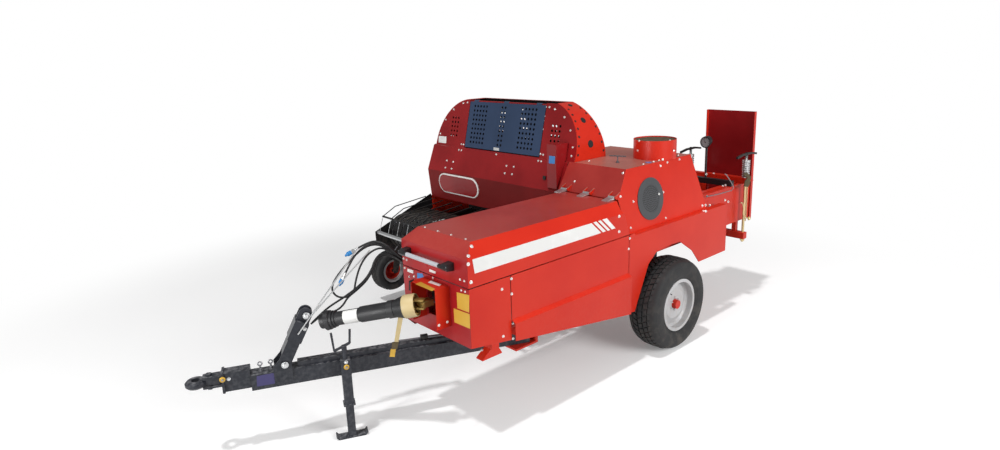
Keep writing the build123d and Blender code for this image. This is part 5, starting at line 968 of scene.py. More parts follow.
@dataclass
class RoadTyre:
    """A ground tyre with carcass, sidewall rings and a blocky tread."""

    node: str
    body: str
    rim_radius: float
    rim_half: float
    rows: tuple[float, ...]
    row_width: float
    pitches: int
    groove: float
    gap: float = 0.22
    steps: int = 120

    def build(self) -> None:
        """Make the tyre in its node's place."""
        low, high = (Vector(corner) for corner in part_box(self.node))
        centre = (low + high) / 2
        radius = (high.z - low.z) / 2 - 0.0004
        half = (high.y - low.y) / 2 - 0.0005
        tread = radius - self.groove
        side = radius - self.rim_radius
        wall = [
            (self.rim_half - 0.007, self.rim_radius - 0.016),
            (self.rim_half - 0.006, self.rim_radius + 0.002),
            (self.rim_half + 0.002, self.rim_radius + 0.010),
            (half * 0.955, self.rim_radius + side * 0.22),
            (half * 0.965, self.rim_radius + side * 0.235),
            (half * 0.975, self.rim_radius + side * 0.26),
            (half * 0.998, self.rim_radius + side * 0.42),
            (half, self.rim_radius + side * 0.50),
            (half * 0.997, self.rim_radius + side * 0.58),
            (half * 0.975, self.rim_radius + side * 0.70),
            (half * 0.965, self.rim_radius + side * 0.705),
            (half * 0.930, self.rim_radius + side * 0.80),
            (half * 0.860, tread - side * 0.07),
            (half * 0.760, tread - side * 0.022),
            (half * 0.450, tread - side * 0.004),
            (0.0, tread),
        ]
        profile = [(y, r) for y, r in wall] + [(-y, r) for y, r in reversed(wall[:-1])]
        profile.append(profile[0])
        shape = Shape()
        shape.lathe(centre, LEFT, profile, self.steps)
        turn = 2 * math.pi / self.pitches
        for row, place in enumerate(self.rows):
            outer = abs(place) > half * 0.55
            crown = radius - (place / half) ** 2 * self.groove * 0.8
            foot = tread - self.groove * 1.2
            for pitch in range(self.pitches):
                middle = turn * (pitch + 0.5 * (row % 2))
                self.block(shape, centre, place, middle, turn, crown, foot, outer, half)
        nodes = [self.node]
        shape.build(self.node + "_tread", Finish.TYRE, self.body, "tyre_rubber", smooth=30, replaces=nodes)

    def block(
        self,
        shape: Shape,
        centre: Vector,
        place: float,
        middle: float,
        turn: float,
        crown: float,
        foot: float,
        outer: bool,
        half: float,
    ) -> None:
        """Add one tread block.

        Args:
            shape: the mesh.
            centre: the wheel's centre.
            place: the row's place across the tyre.
            middle: the block's angle about the axle.
            turn: the angle of one pitch.
            crown: radius of its top.
            foot: radius of its foot.
            outer: whether it runs down over the shoulder.
            half: half the tyre's width.
        """
        side = 1 if place >= 0 else -1
        length = turn * (1 - self.gap) / 2
        lean = turn * 0.16
        left = place - self.row_width / 2
        right = place + self.row_width / 2
        if outer:
            inner = place - side * self.row_width / 2
            far = side * half * 0.905
            left, right = sorted((inner, far))
        rims = []
        for drop in (False, True):
            ring = []
            spread = 1.06 if drop else 1.0
            for across, angle in ((left, -length), (right, -length), (right, length), (left, length)):
                shift = lean * (1 if (across - place) * side > 0 else -1)
                reach = foot if drop else crown
                if outer and abs(across) > half * 0.85:
                    reach -= self.groove * (2.2 if not drop else 1.6)
                spin = middle + angle * spread + shift
                spot = centre + Vector((math.cos(spin) * reach, across, math.sin(spin) * reach))
                ring.append(shape.bm.verts.new(spot))
            rims.append(ring)
        shape.skin(rims[1], rims[0])
        shape.bm.faces.new(rims[0])


@dataclass
class WheelTrim:
    """Nuts and valve of a ground wheel."""

    rim: str
    hub: str
    body: str
    side: int
    nuts: int = 6
    circle: float = 0.052
    nut: float = 0.009
    valve_circle: float = 0.15
    valve_turn: float = 0.9
    valve: tuple = (
        (-0.006, 0.0), (-0.006, 0.006), (0.004, 0.0055), (0.012, 0.004), (0.030, 0.0035), (0.030, 0.0045),
        (0.040, 0.0045), (0.042, 0.003), (0.042, 0.0),
    )
    away: float = 0.25  # how far outside the wheel the rays start

    def build(self) -> None:
        """Fit the trim to the wheel's disc."""
        low, high = (Vector(corner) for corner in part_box(self.rim))
        centre = (low + high) / 2
        out = Vector((0, self.side, 0))
        tree = self.tree()
        shape = Shape()
        for index in range(self.nuts):
            arm = spoke(AHEAD, UP, 2 * math.pi * (index + 0.5) / self.nuts)
            spot, *_ = tree.ray_cast(centre + arm * self.circle + out * self.away, -out)
            if spot is not None:
                shape.bolt(spot, out, self.nut, washer=False)
                shape.rod(spot, spot + out * 0.016, self.nut * 0.5, 10)
        shape.build(self.rim + "_nuts", Finish.ZINC, self.body, "zinc")
        arm = spoke(AHEAD, UP, self.valve_turn)
        spot, *_ = tree.ray_cast(centre + arm * self.valve_circle + out * self.away, -out)
        if spot is not None:
            stem = Shape()
            stem.lathe(spot, (out * 0.9 - arm * 0.35).normalized(), self.valve, 12)
            stem.build(self.rim + "_valve", Finish.BLACK_PLASTIC, self.body, "black_plastic")

    def tree(self) -> BVHTree:
        """The disc and hub as one surface."""
        spots: list[Vector] = []
        faces: list[list[int]] = []
        for name in (self.rim, self.hub):
            data = frame["nodes"][name].data
            base = len(spots)
            spots.extend(v.co.copy() for v in data.vertices)
            faces.extend([base + index for index in face.vertices] for face in data.polygons)
        return BVHTree.FromPolygons(spots, faces)


# ---------------------------------------------------------------- bolts, films and plates

SINK = 0.0005  # how far a bolt is let into its sheet
LATCH_LIFT = 0.004  # how far a latch stands off its sheet
KNOB_LIFT = 0.010

# places in the photograph, in pixels across and down
BIG_EDGE_BOLTS = (
    (471.5, 246.5), (468.4, 256.1), (468.2, 264.2), (471.0, 282.2), (619.1, 216.3), (619.0, 231.6),
)
FRONT_BOLTS = (
    (403.7, 258.5), (406.8, 259.9), (404.8, 267.9), (409.4, 276.7), (414.1, 276.4), (460.1, 279.5),
    (464.3, 281.0), (461.3, 290.4), (465.1, 291.7), (433.0, 277.9),
)
SIDE_BOLTS = (
    (501.9, 289.3), (503.2, 336.3), (511.3, 278.8), (511.7, 293.9), (512.7, 323.3), (513.1, 338.6),
    (439.0, 325.3), (447.4, 321.9), (482.0, 350.1), (629.8, 238.4), (628.6, 248.8), (630.6, 227.8),
)
LID_TOP_BOLTS = (
    (424.9, 227.4), (437.8, 231.2), (451.2, 235.0), (465.6, 239.2),
)
FEEDER_BOLTS = (
    (467.6, 102.5), (463.4, 103.1), (453.9, 109.4), (445.9, 119.6), (440.4, 133.4), (461.5, 144.2),
    (463.5, 144.5), (458.9, 149.9), (461.5, 150.3), (446.8, 160.5), (453.2, 161.7), (445.5, 167.6),
    (451.5, 168.7), (506.5, 165.8), (513.8, 166.8), (504.8, 173.2), (512.1, 174.2), (540.5, 154.0),
    (543.3, 154.8), (538.2, 160.8), (541.2, 161.4), (549.5, 107.2), (554.9, 109.1), (564.4, 117.2),
    (570.5, 130.6), (572.7, 147.4), (571.4, 156.1), (574.6, 181.5), (589.0, 161.0), (496.3, 154.4),
)
HOUSING_BOLTS = (
    (622.8, 173.2), (620.4, 196.5), (633.4, 201.6), (659.0, 194.0), (663.0, 192.1), (660.4, 165.9),
    (665.6, 218.0), (639.1, 140.8), (670.0, 140.4), (637.8, 150.6), (673.8, 150.6), (678.0, 155.5),
    (679.3, 159.3), (662.7, 159.5), (658.9, 160.6), (667.2, 162.3), (653.5, 161.8), (643.3, 164.3),
)
REAR_BOLTS = (
    (703.5, 211.2), (705.7, 211.2), (702.2, 205.7), (705.4, 205.2), (709.3, 205.2), (724.9, 200.1),
    (728.1, 201.6), (706.3, 174.2), (713.7, 173.6), (722.7, 186.1), (725.5, 185.3),
)
TONGUE_SMALL_BOLTS = (
    (304.8, 329.1), (346.1, 362.3), (228.7, 379.1),
)
TONGUE_BIG_BOLTS = (
    (306.3, 315.8), (285.0, 365.1),
)
TONGUE_YELLOW_BOLTS = (
    (346.5, 366.9), (222.4, 379.6),
)


@dataclass
class Fasteners:
    """Bolt heads seated on the sheets that they hold."""

    skin: Skin
    kinds: tuple = (
        # name, finish, head radius, places in the photograph
        ("edge_bolts", Finish.BRIGHT, 0.0078, BIG_EDGE_BOLTS),
        ("front_bolts", Finish.BRIGHT, 0.0052, FRONT_BOLTS),
        ("side_bolts", Finish.BRIGHT, 0.0065, SIDE_BOLTS),
        ("lid_top_bolts", Finish.BRIGHT, 0.0052, LID_TOP_BOLTS),
        ("feeder_bolts", Finish.BRIGHT, 0.0064, FEEDER_BOLTS),
        ("housing_bolts", Finish.BRIGHT, 0.0066, HOUSING_BOLTS),
        ("rear_bolts", Finish.BRIGHT, 0.0080, REAR_BOLTS),
        ("tongue_bolts", Finish.ZINC, 0.0080, TONGUE_SMALL_BOLTS),
        ("arm_pins", Finish.ZINC, 0.0150, TONGUE_BIG_BOLTS),
    )
    washer: tuple = ((-0.001, 0.0), (-0.001, 0.017), (0.004, 0.017), (0.005, 0.015), (0.005, 0.0))
    head: tuple = ((0.0, 0.0), (0.0, 0.0075), (0.006, 0.0075), (0.007, 0.006), (0.007, 0.0))

    def build(self) -> None:
        """Seat every bolt and gather them by body."""
        for name, finish, radius, places in self.kinds:
            shapes: dict[str, Shape] = {}
            for across, down in places:
                seat = self.skin.pixel(across, down)
                shape = shapes.setdefault(seat.body, Shape())
                shape.bolt(seat.spot - seat.normal * SINK, seat.normal, radius)
            for body, shape in shapes.items():
                shape.build(f"{name}_on_{body}", finish, body, "zinc")
        for index, (across, down) in enumerate(TONGUE_YELLOW_BOLTS):
            seat = self.skin.pixel(across, down)
            ring = Shape()
            ring.lathe(seat.spot, seat.normal, self.washer, 28)
            ring.build(f"yellow_washer_{index}", Finish.YELLOW_FILM, seat.body, "")
            head = Shape()
            head.lathe(seat.spot + seat.normal * 0.005, seat.normal, self.head, 6)
            head.build(f"washer_bolt_{index}", Finish.STEEL, seat.body, "steel")


@dataclass(frozen=True)
class Film:
    """A plain film or painted patch between four spots of the photograph."""

    name: str
    finish: Finish
    slot: str
    corners: tuple
    lift: float = 0.0006


STRIPE = (
    Film("stripe", Finish.WHITE_FILM, "", ((472.3, 259.6), (474.7, 273.6), (601.2, 232.9), (591.5, 223.1))),
    Film("stripe_bar_1", Finish.WHITE_FILM, "",
         ((593.2, 222.5), (602.9, 232.3), (606.0, 231.3), (596.3, 221.5))),
    Film("stripe_bar_2", Finish.WHITE_FILM, "",
         ((598.0, 221.0), (607.7, 230.8), (610.2, 230.0), (600.5, 220.2))),
    Film("stripe_bar_3", Finish.WHITE_FILM, "",
         ((602.2, 219.6), (611.9, 229.4), (615.5, 228.2), (606.8, 218.2))),
)
FILMS = (
    Film("cover_plate", Finish.BLUE_FILM, "",
         ((417.2, 272.8), (422.6, 273.6), (424.0, 277.9), (417.2, 278.2))),
    Film("guard_film_1", Finish.YELLOW_FILM, "",
         ((420.6, 281.9), (435.2, 289.0), (432.0, 291.2), (415.4, 284.0))),
    Film("guard_film_2", Finish.WHITE_FILM, "",
         ((430.9, 280.6), (441.5, 284.4), (439.0, 286.2), (428.0, 282.4))),
    Film("front_film_1", Finish.YELLOW_FILM, "",
         ((456.7, 292.2), (469.3, 295.2), (469.2, 312.6), (457.4, 308.2))),
    Film("front_film_2", Finish.YELLOW_FILM, "",
         ((453.7, 308.3), (469.6, 314.2), (470.1, 328.8), (454.4, 322.2))),
    Film("hood_film", Finish.WHITE_FILM, "",
         ((438.8, 135.8), (446.5, 136.6), (446.1, 143.3), (438.6, 142.4))),
    Film("post_film", Finish.BLUE_FILM, "", ((549.1, 155.7), (555.0, 156.3), (554.7, 163.9), (548.8, 163.3))),
    Film("tongue_film", Finish.VIOLET_FILM, "",
         ((256.6, 376.2), (274.6, 372.7), (275.0, 383.5), (257.0, 386.6))),
    Film("cover_latch_1", Finish.BRIGHT, "zinc",
         ((407.9, 268.4), (413.9, 270.4), (413.7, 273.4), (407.7, 271.4)), LATCH_LIFT),
    Film("cover_latch_2", Finish.BRIGHT, "zinc",
         ((429.9, 268.9), (436.1, 271.6), (435.7, 273.6), (429.6, 271.4)), LATCH_LIFT),
    # Painted shade: black strips where the cover's slot shows dark.
    Film("cover_slot", Finish.UNLIT, "", ((408.9, 281.0), (414.0, 278.8), (414.0, 280.4), (410.6, 282.4))),
    Film("cover_slot_foot", Finish.UNLIT, "",
         ((408.9, 281.0), (410.7, 281.6), (410.5, 290.8), (408.8, 290.0))),
    Film("door_latch", Finish.BRIGHT, "zinc",
         ((493.9, 147.3), (499.3, 148.1), (499.0, 150.9), (493.7, 150.1)), LATCH_LIFT),
    Film("feeder_knob", Finish.UNLIT, "black_plastic",
         ((543.6, 175.9), (546.2, 176.3), (545.9, 180.1), (543.3, 179.7)), KNOB_LIFT),
)


@dataclass
class Films:
    """Plain films on the sheets."""

    skin: Skin
    gap: float = 0.0002

    def lay(self, film: Film) -> None:
        """Lay one film on the sheet behind it."""
        across = sum(c[0] for c in film.corners) / 4
        down = sum(c[1] for c in film.corners) / 4
        seat = self.skin.pixel(across, down)
        lifted = seat.spot + seat.normal * self.gap
        outline = [self.skin.on_plane(x, y, lifted, seat.normal) for x, y in film.corners]
        shape = Shape()
        shape.prism(outline, seat.normal * film.lift)
        shape.build(film.name, film.finish, seat.body, film.slot)

    def build(self) -> None:
        """Lay them all."""
        for film in STRIPE + FILMS:
            self.lay(film)


@dataclass
class Badge:
    """The long badge on the feeder's front, white with a red field."""

    skin: Skin
    middle: tuple[float, float] = (458.8, 185.2)
    left: tuple[float, float] = (439.4, 181.3)
    right: tuple[float, float] = (478.3, 189.0)
    top: tuple[float, float] = (459.4, 176.0)
    bottom: tuple[float, float] = (457.9, 194.6)
    thick: float = 0.012
    rim: float = 0.012
    steps: int = 20

    def outline(self, centre: Vector, along: Vector, up: Vector, half: float, rise: float) -> list[Vector]:
        """A long shape with round ends.

        Args:
            centre: its middle.
            along: its long direction.
            up: its short direction.
            half: half its length.
            rise: half its height.

        Returns:
            Its points in order.
        """
        spots = []
        for side in (1, -1):
            for index in range(self.steps + 1):
                turn = -side * math.pi / 2 + math.pi * index / self.steps
                reach = side * (half - rise) + math.cos(turn) * rise
                spots.append(centre + along * reach + up * math.sin(turn) * rise)
        return spots

    def build(self) -> None:
        """Seat the badge on the sheet."""
        seat = self.skin.pixel(*self.middle)
        places = (self.left, self.right, self.top, self.bottom)
        ends = [self.skin.on_plane(*place, seat.spot, seat.normal) for place in places]
        along = (ends[1] - ends[0]).normalized()
        up = seat.normal.cross(along).normalized()
        if up.z < 0:
            up = -up
        half = (ends[1] - ends[0]).length / 2
        rise = abs((ends[2] - ends[3]).dot(up)) / 2
        plate = Shape()
        plate.prism(self.outline(seat.spot, along, up, half, rise), seat.normal * self.thick)
        plate.build("badge_plate", Finish.WHITE_FILM, seat.body, "", bevel=0.002)
        panel = Shape()
        spot = seat.spot + seat.normal * self.thick
        panel.prism(self.outline(spot, along, up, half - self.rim, rise - self.rim), seat.normal * 0.0015)
        # The field takes the darker red that paints the front's shade.
        panel.build("badge_field", Finish.CRIMSON, seat.body, "red_paint")


# ---------------------------------------------------------------- driveline


@dataclass
class Driveline:
    """Ribbed guards, bell, label and strap of the driveline."""

    skin: Skin
    bell_radius: float = 0.0735
    tube_radius: float = 0.050
    inner_radius: float = 0.0435
    inner_start: float = 0.385
    outer_end: float = 0.400
    ribs: int = 6
    rib_start: float = 0.1131
    ring_bolts: int = 8
    label_start: float = 0.412
    label_length: float = 0.095
    label_turn: float = 80.0  # degrees that it reaches to either side
    facing: Vector = field(default_factory=lambda: Vector((0.72, 0.69, 0.0)))
    collar: tuple = (
        # metres before the inner guard's end, radius
        (0.126, 0.050), (0.119, 0.050), (0.117, 0.047), (0.111, 0.047), (0.109, 0.055), (0.101, 0.055),
        (0.099, 0.051), (0.093, 0.051), (0.088, 0.060), (0.062, 0.063), (0.060, 0.060), (0.058, 0.050),
        (0.028, 0.048), (0.026, 0.046), (0.026, 0.019), (0.060, 0.019), (0.060, 0.0),
    )
    straps: tuple = (
        # name, finish, corners in the photograph, thickness
        ("strap", Finish.CREAM_PLASTIC,
         ((398.4, 315.5), (403.4, 315.5), (398.6, 341.8), (394.3, 341.8)), 0.002),
        ("strap_buckle", Finish.OLIVE,
         ((392.4, 341.8), (398.8, 341.8), (397.4, 348.8), (391.6, 348.8)), 0.005),
        ("strap_end", Finish.YELLOW_FILM,
         ((390.9, 348.8), (396.0, 348.8), (394.8, 356.9), (389.6, 356.5)), 0.002),
    )

    def bell(self) -> None:
        """The pale bell at the machine's end."""
        wide = self.bell_radius
        profile = [
            (0.108, 0.0), (0.108, wide - 0.006), (0.034, wide - 0.007), (0.034, wide - 0.0035),
            (0.040, wide - 0.002), (0.096, wide), (0.108, wide - 0.0005), (0.113, wide - 0.0035),
            (0.113, 0.0),
        ]
        nodes = ["driveline_outer"]
        shape = Shape()
        shape.lathe(DRIVELINE_JOINT, DRIVELINE_LINE, profile, 64)
        shape.build("driveline_bell", Finish.CREAM_PLASTIC, "driveline", "", replaces=nodes)
        ring = Shape()
        band = [(0.040, 0.050), (0.040, 0.064), (0.056, 0.064), (0.056, 0.050), (0.040, 0.050)]
        ring.lathe(DRIVELINE_JOINT, DRIVELINE_LINE, band, 48)
        first, second = square_to(DRIVELINE_LINE)
        for turn in turns(self.ring_bolts):
            seat = DRIVELINE_JOINT + DRIVELINE_LINE * 0.0405 + spoke(first, second, turn) * 0.057
            ring.bolt(seat, -DRIVELINE_LINE, 0.006)
        ring.build("bell_ring", Finish.BRONZE, "driveline", "steel", replaces=nodes)

    def guards(self) -> None:
        """The outer and inner black guard tubes with their ribs."""
        profile = [(self.rib_start, 0.0)]
        for index in range(self.ribs):
            start = self.rib_start + 0.0105 * index
            radius = 0.0690 - 0.0027 * index
            low = radius - 0.004
            profile += [
                (start, radius), (start + 0.0060, radius), (start + 0.0066, low), (start + 0.0100, low),
            ]
        tube, bore, end = self.tube_radius, self.inner_radius + 0.001, self.outer_end
        profile += [
            (0.178, 0.0560), (0.214, 0.0560), (0.217, tube), (end - 0.002, tube), (end, tube - 0.001),
            (end, bore), (0.225, bore), (0.225, 0.0),
        ]
        outer = Shape()
        outer.lathe(DRIVELINE_JOINT, DRIVELINE_LINE, profile, 64)
        looks = (Finish.BLACK_PLASTIC, "driveline", "black_plastic")
        outer.build("outer_guard", *looks, replaces=["driveline_outer"])
        tube = self.inner_radius
        profile = [(self.inner_start, 0.0), (self.inner_start, tube), (DRIVELINE_LENGTH - 0.128, tube)]
        profile += [(DRIVELINE_LENGTH - before, radius) for before, radius in self.collar]
        inner = Shape()
        inner.lathe(DRIVELINE_JOINT, DRIVELINE_LINE, profile, 64)
        looks = (Finish.BLACK_PLASTIC, "driveline_tube", "black_plastic")
        inner.build("inner_guard", *looks, replaces=["driveline_inner"])

    def label(self) -> None:
        """The white film wrapped about the inner guard."""
        first = (self.facing - DRIVELINE_LINE * self.facing.dot(DRIVELINE_LINE)).normalized()
        second = DRIVELINE_LINE.cross(first)
        start = DRIVELINE_JOINT + DRIVELINE_LINE * self.label_start
        reach = self.label_turn
        arc = [math.radians(-reach + 2 * reach * index / 20) for index in range(21)]
        over, under = self.inner_radius + 0.0009, self.inner_radius + 0.0001
        outline = [start + spoke(first, second, turn) * over for turn in arc]
        outline += [start + spoke(first, second, turn) * under for turn in reversed(arc)]
        shape = Shape()
        shape.prism(outline, DRIVELINE_LINE * self.label_length)
        shape.build("driveline_label", Finish.WHITE_FILM, "driveline_tube", "")

    def strap(self) -> None:
        """The holding strap that hangs from the bell."""
        start = DRIVELINE_JOINT + DRIVELINE_LINE * 0.100 - UP * self.bell_radius
        tilted = (self.facing - Vector((0, 0, 0.15))).normalized()
        for name, finish, corners, thick in self.straps:
            shape = Shape()
            shape.prism([self.skin.on_plane(x, y, start, tilted) for x, y in corners], tilted * thick)
            shape.build(name, finish, "driveline", "")

    def build(self) -> None:
        """Dress the whole driveline."""
        self.bell()
        self.guards()
        self.label()
        self.strap()


# ---------------------------------------------------------------- small fittings


@dataclass
class TongueFittings:
    """Eye bolts, stay sleeves and the lock rod on the tongue."""

    skin: Skin
    stay: float = 0.0044
    stays: tuple = (
        # foot and top of each stay, along the tongue
        ((1.452, 0.078, 0.723), (1.043, -0.029, 1.191)),
        ((1.365, 0.052, 0.822), (0.959, -0.020, 1.185)),
    )
    eyes: tuple = ((260.6, 370.0), (271.2, 367.8))
    eye: float = 0.012
    lock_rod: tuple = ((396.7, 341.0), (424.0, 337.2), (447.0, 334.4))

    def eye_bolt(self, foot: Vector) -> None:
        """One eye bolt standing on the beam."""
        shape = Shape()
        shape.bolt(foot, UP, 0.010)
        shape.rod(foot, foot + UP * 0.030, 0.0055)
        middle = foot + UP * 0.043
        along = tongue(1.0, 1.0, 0.0) - tongue(0.0, 1.0, 0.0)
        ring = [middle + spoke(along, UP, turn) * self.eye for turn in turns(20)]
        shape.tube(ring, 0.0045, 10, closed=True)
        shape.build(f"eye_bolt_{round(foot.x * 1000)}", Finish.STEEL, "tongue", "steel")

    def build(self) -> None:
        """Fit them to the tongue."""
        for across, down in self.eyes:
            seat = self.skin.pixel(across, down)
            log.info("eye bolt on %s at %s", seat.node, tuple(seat.spot))
            self.eye_bolt(seat.spot)
        sleeves = Shape()
        for foot, head in self.stays:
            start, end = tongue(*foot), tongue(*head)
            run = (end - start).normalized()
            sleeves.rod(start + run * 0.012, end - run * 0.004, self.stay, 12)
        sleeves.build("stay_sleeves", Finish.ZINC, "tongue", "zinc", replaces=["hose_stays"])
        side = tongue(0.0, 1.0, 0.0) - tongue(0.0, 0.0, 0.0)
        middle = tongue(0.8, 0.0, 0.560)
        rod = Shape()
        points = [self.skin.on_plane(x, y, middle, side) for x, y in self.lock_rod]
        rod.rod(points[0], points[1], 0.0055)
        rod.rod(points[1], points[2], 0.0095)
        rod.build("lock_rod", Finish.STEEL, "tongue", "steel")
        bracket = Shape()
        bracket.block(points[1] - Vector((0, 0, 0.004)), (0.050, 0.026, 0.048), TONGUE_TURN)
        bracket.build("lock_rod_bracket", Finish.BLACK, "tongue", "black_plastic", bevel=0.003)


@dataclass
class HandleEnds:
    """Black sleeves over the ends of the lid's handle bar."""

    reach: float = 2.085
    height: float = 1.150
    radius: float = 0.0150
    spans: tuple = ((-0.1225, -0.208), (-0.537, -0.6225))

    def build(self) -> None:
        """Slide them over the bar."""
        for index, (start, end) in enumerate(self.spans):
            shape = Shape()
            shape.rod(at(self.reach, start, self.height), at(self.reach, end, self.height), self.radius, 28)
            shape.build(f"handle_sleeve_{index}", Finish.BLACK_PLASTIC, "lid", "black_plastic")


@dataclass
class RearFittings:
    """Hook, bent rod and bail about the left tension screw."""

    skin: Skin
    hook: tuple = (
        (743.6, 173.0), (746.4, 172.4), (750.4, 176.6), (749.4, 183.4), (747.8, 187.0), (743.4, 186.4),
        (744.6, 181.0), (746.8, 178.2), (745.4, 176.0), (743.8, 176.6),
    )
    rod: tuple = (
        (740.3, 202.6), (742.6, 203.0), (743.4, 208.0), (743.0, 214.0), (744.4, 217.2), (748.6, 218.4),
    )
    bail: tuple = (
        (726.0, 174.4), (730.0, 180.5), (733.6, 186.7), (731.6, 190.4), (722.0, 193.2), (708.4, 196.4),
    )

    def build(self) -> None:
        """Bend and seat them."""
        plane = at(0.0, -0.020, 0.0)
        hook = Shape()
        hook.prism([self.skin.on_plane(x, y, plane, LEFT) for x, y in self.hook], LEFT * 0.006)
        hook.build("screw_hook", Finish.OLIVE, "frame", "steel")
        bent = Shape()
        spots = [self.skin.on_plane(x, y, plane, LEFT) for x, y in self.rod]
        bent.tube(spots, 0.0055)
        bent.bolt(spots[-1], LEFT, 0.013)
        bent.build("bent_rod", Finish.GOLD_ZINC, "frame", "zinc")
        bail = Shape()
        deck = at(0.0, -0.070, 0.0)
        spots = [self.skin.on_plane(x, y, deck, LEFT) for x, y in self.bail]
        bail.tube(spots, 0.0042)
        for spot in (spots[0], spots[-1]):
            bail.rod(spot, spot - LEFT * 0.014, 0.0042)
        bail.bolt(spots[-1] - LEFT * 0.014, LEFT, 0.0075)
        bail.build("bail_rod", Finish.STEEL, "frame", "steel")


@dataclass
class HiddenSides:
    """Bolt rows on the sides that the photograph doesn't show."""

    skin: Skin
    radius: float = 0.0066

    def row(self, starts: list[Vector], heading: Vector, shapes: dict) -> None:
        """Seat one bolt where each ray meets the machine."""
        for start in starts:
            seat = self.skin.meet(start, heading)
            shape = shapes.setdefault(seat.body, Shape())
            shape.bolt(seat.spot - seat.normal * SINK, seat.normal, self.radius)

    def build(self) -> None:
        """Seat the rows on the right side and behind."""
        shapes: dict[str, Shape] = {}
        edge = [at(x, -3.0, z) for z in (0.80, 1.45) for x in (0.06, 0.16, 0.26, 0.36)]
        side = [at(x, -3.0, 1.52) for x in (0.08, 0.20, 0.32)]
        self.row(edge + side, LEFT, shapes)
        across = (-2.40, -2.10, -1.80, -1.50, -1.20, -0.95)
        sheet = [at(-3.0, y, z) for z in (0.82, 1.44) for y in across]
        ring = [at(-3.0, y, 1.54) for y in (-2.38, -2.05, -1.72, -1.39, -1.06, -0.78)]
        self.row(sheet + ring, AHEAD, shapes)
        housing = [at(-1.20, y, z) for y in (-0.50, -0.24) for z in (1.24, 1.40)]
        self.row(housing, AHEAD, shapes)
        for body, shape in shapes.items():
            shape.build(f"hidden_bolts_on_{body}", Finish.BRIGHT, body, "zinc")


@dataclass
class Dial:
    """Face, ticks and pointer of the tension dial."""

    centre: Vector = field(default_factory=lambda: at(-1.085, -0.354, 1.505))
    radius: float = 0.052

    def build(self) -> None:
        """Dress the dial."""
        wide = self.radius
        inside = wide - 0.009
        profile = [
            (0.0, wide), (0.005, wide), (0.006, wide - 0.002), (0.006, wide - 0.008), (0.001, inside),
            (0.0, inside), (0.0, wide),
        ]
        rim = Shape()
        rim.lathe(self.centre, AHEAD, profile, 48)
        rim.build("dial_rim", Finish.BLACK_PLASTIC, "frame", "black_plastic")
        face = Shape()
        face.disc(self.centre, AHEAD, inside, 0.0, 0.0015, 48)
        face.build("dial_face", Finish.GREY_FACE, "frame", "")
        marks = Shape()
        for index in range(10):
            turn = math.radians(-135 + 30 * index)
            arm = Vector((0, -math.sin(turn), math.cos(turn)))
            half = AHEAD.cross(arm) * 0.0014
            start = self.centre + AHEAD * 0.0015 + arm * (wide - 0.022)
            corners = [start - half, start + half, start + half + arm * 0.010, start - half + arm * 0.010]
            marks.prism(corners, AHEAD * 0.0006)
        pivot = self.centre + AHEAD * 0.0030
        marks.rod(pivot, pivot + Vector((0, -0.5, 0.8)) * 0.030, 0.0014, 8)
        marks.lathe(self.centre + AHEAD * 0.0015, AHEAD, [(0, 0), (0, 0.005), (0.004, 0.004), (0.004, 0)], 16)
        marks.build("dial_marks", Finish.UNLIT, "frame", "")


@dataclass
class DeckLatch:
    """T-handle on the knotter housing's deck, with the oval film beside it."""

    skin: Skin
    deck: float = 1.497
    height: float = 0.045
    foot: tuple = (617.6, 162.6)
    bar: tuple = ((609.5, 155.6), (626.0, 156.4))
    film: tuple = (648.5, 162.4)

    def build(self) -> None:
        """Seat the latch on the deck."""
        deck = UP * self.deck
        foot = self.skin.on_plane(*self.foot, deck, UP)
        top = foot + UP * self.height
        ends = [self.skin.on_plane(x, y, top, UP) for x, y in self.bar]
        middle = (ends[0] + ends[1]) / 2
        shape = Shape()
        shape.bolt(foot, UP, 0.011)
        shape.tube([foot, foot.lerp(middle, 0.5) + UP * 0.004, middle], 0.0042)
        shape.rod(ends[0], ends[1], 0.0045)
        shape.build("deck_latch", Finish.CAST, "frame", "casting")
        oval = Shape()
        spot = self.skin.on_plane(*self.film, deck, UP)
        oval.disc(spot, UP, 0.026, 0.0002, 0.0009, 32)
        oval.build("deck_film", Finish.BLUE_FILM, "frame", "")


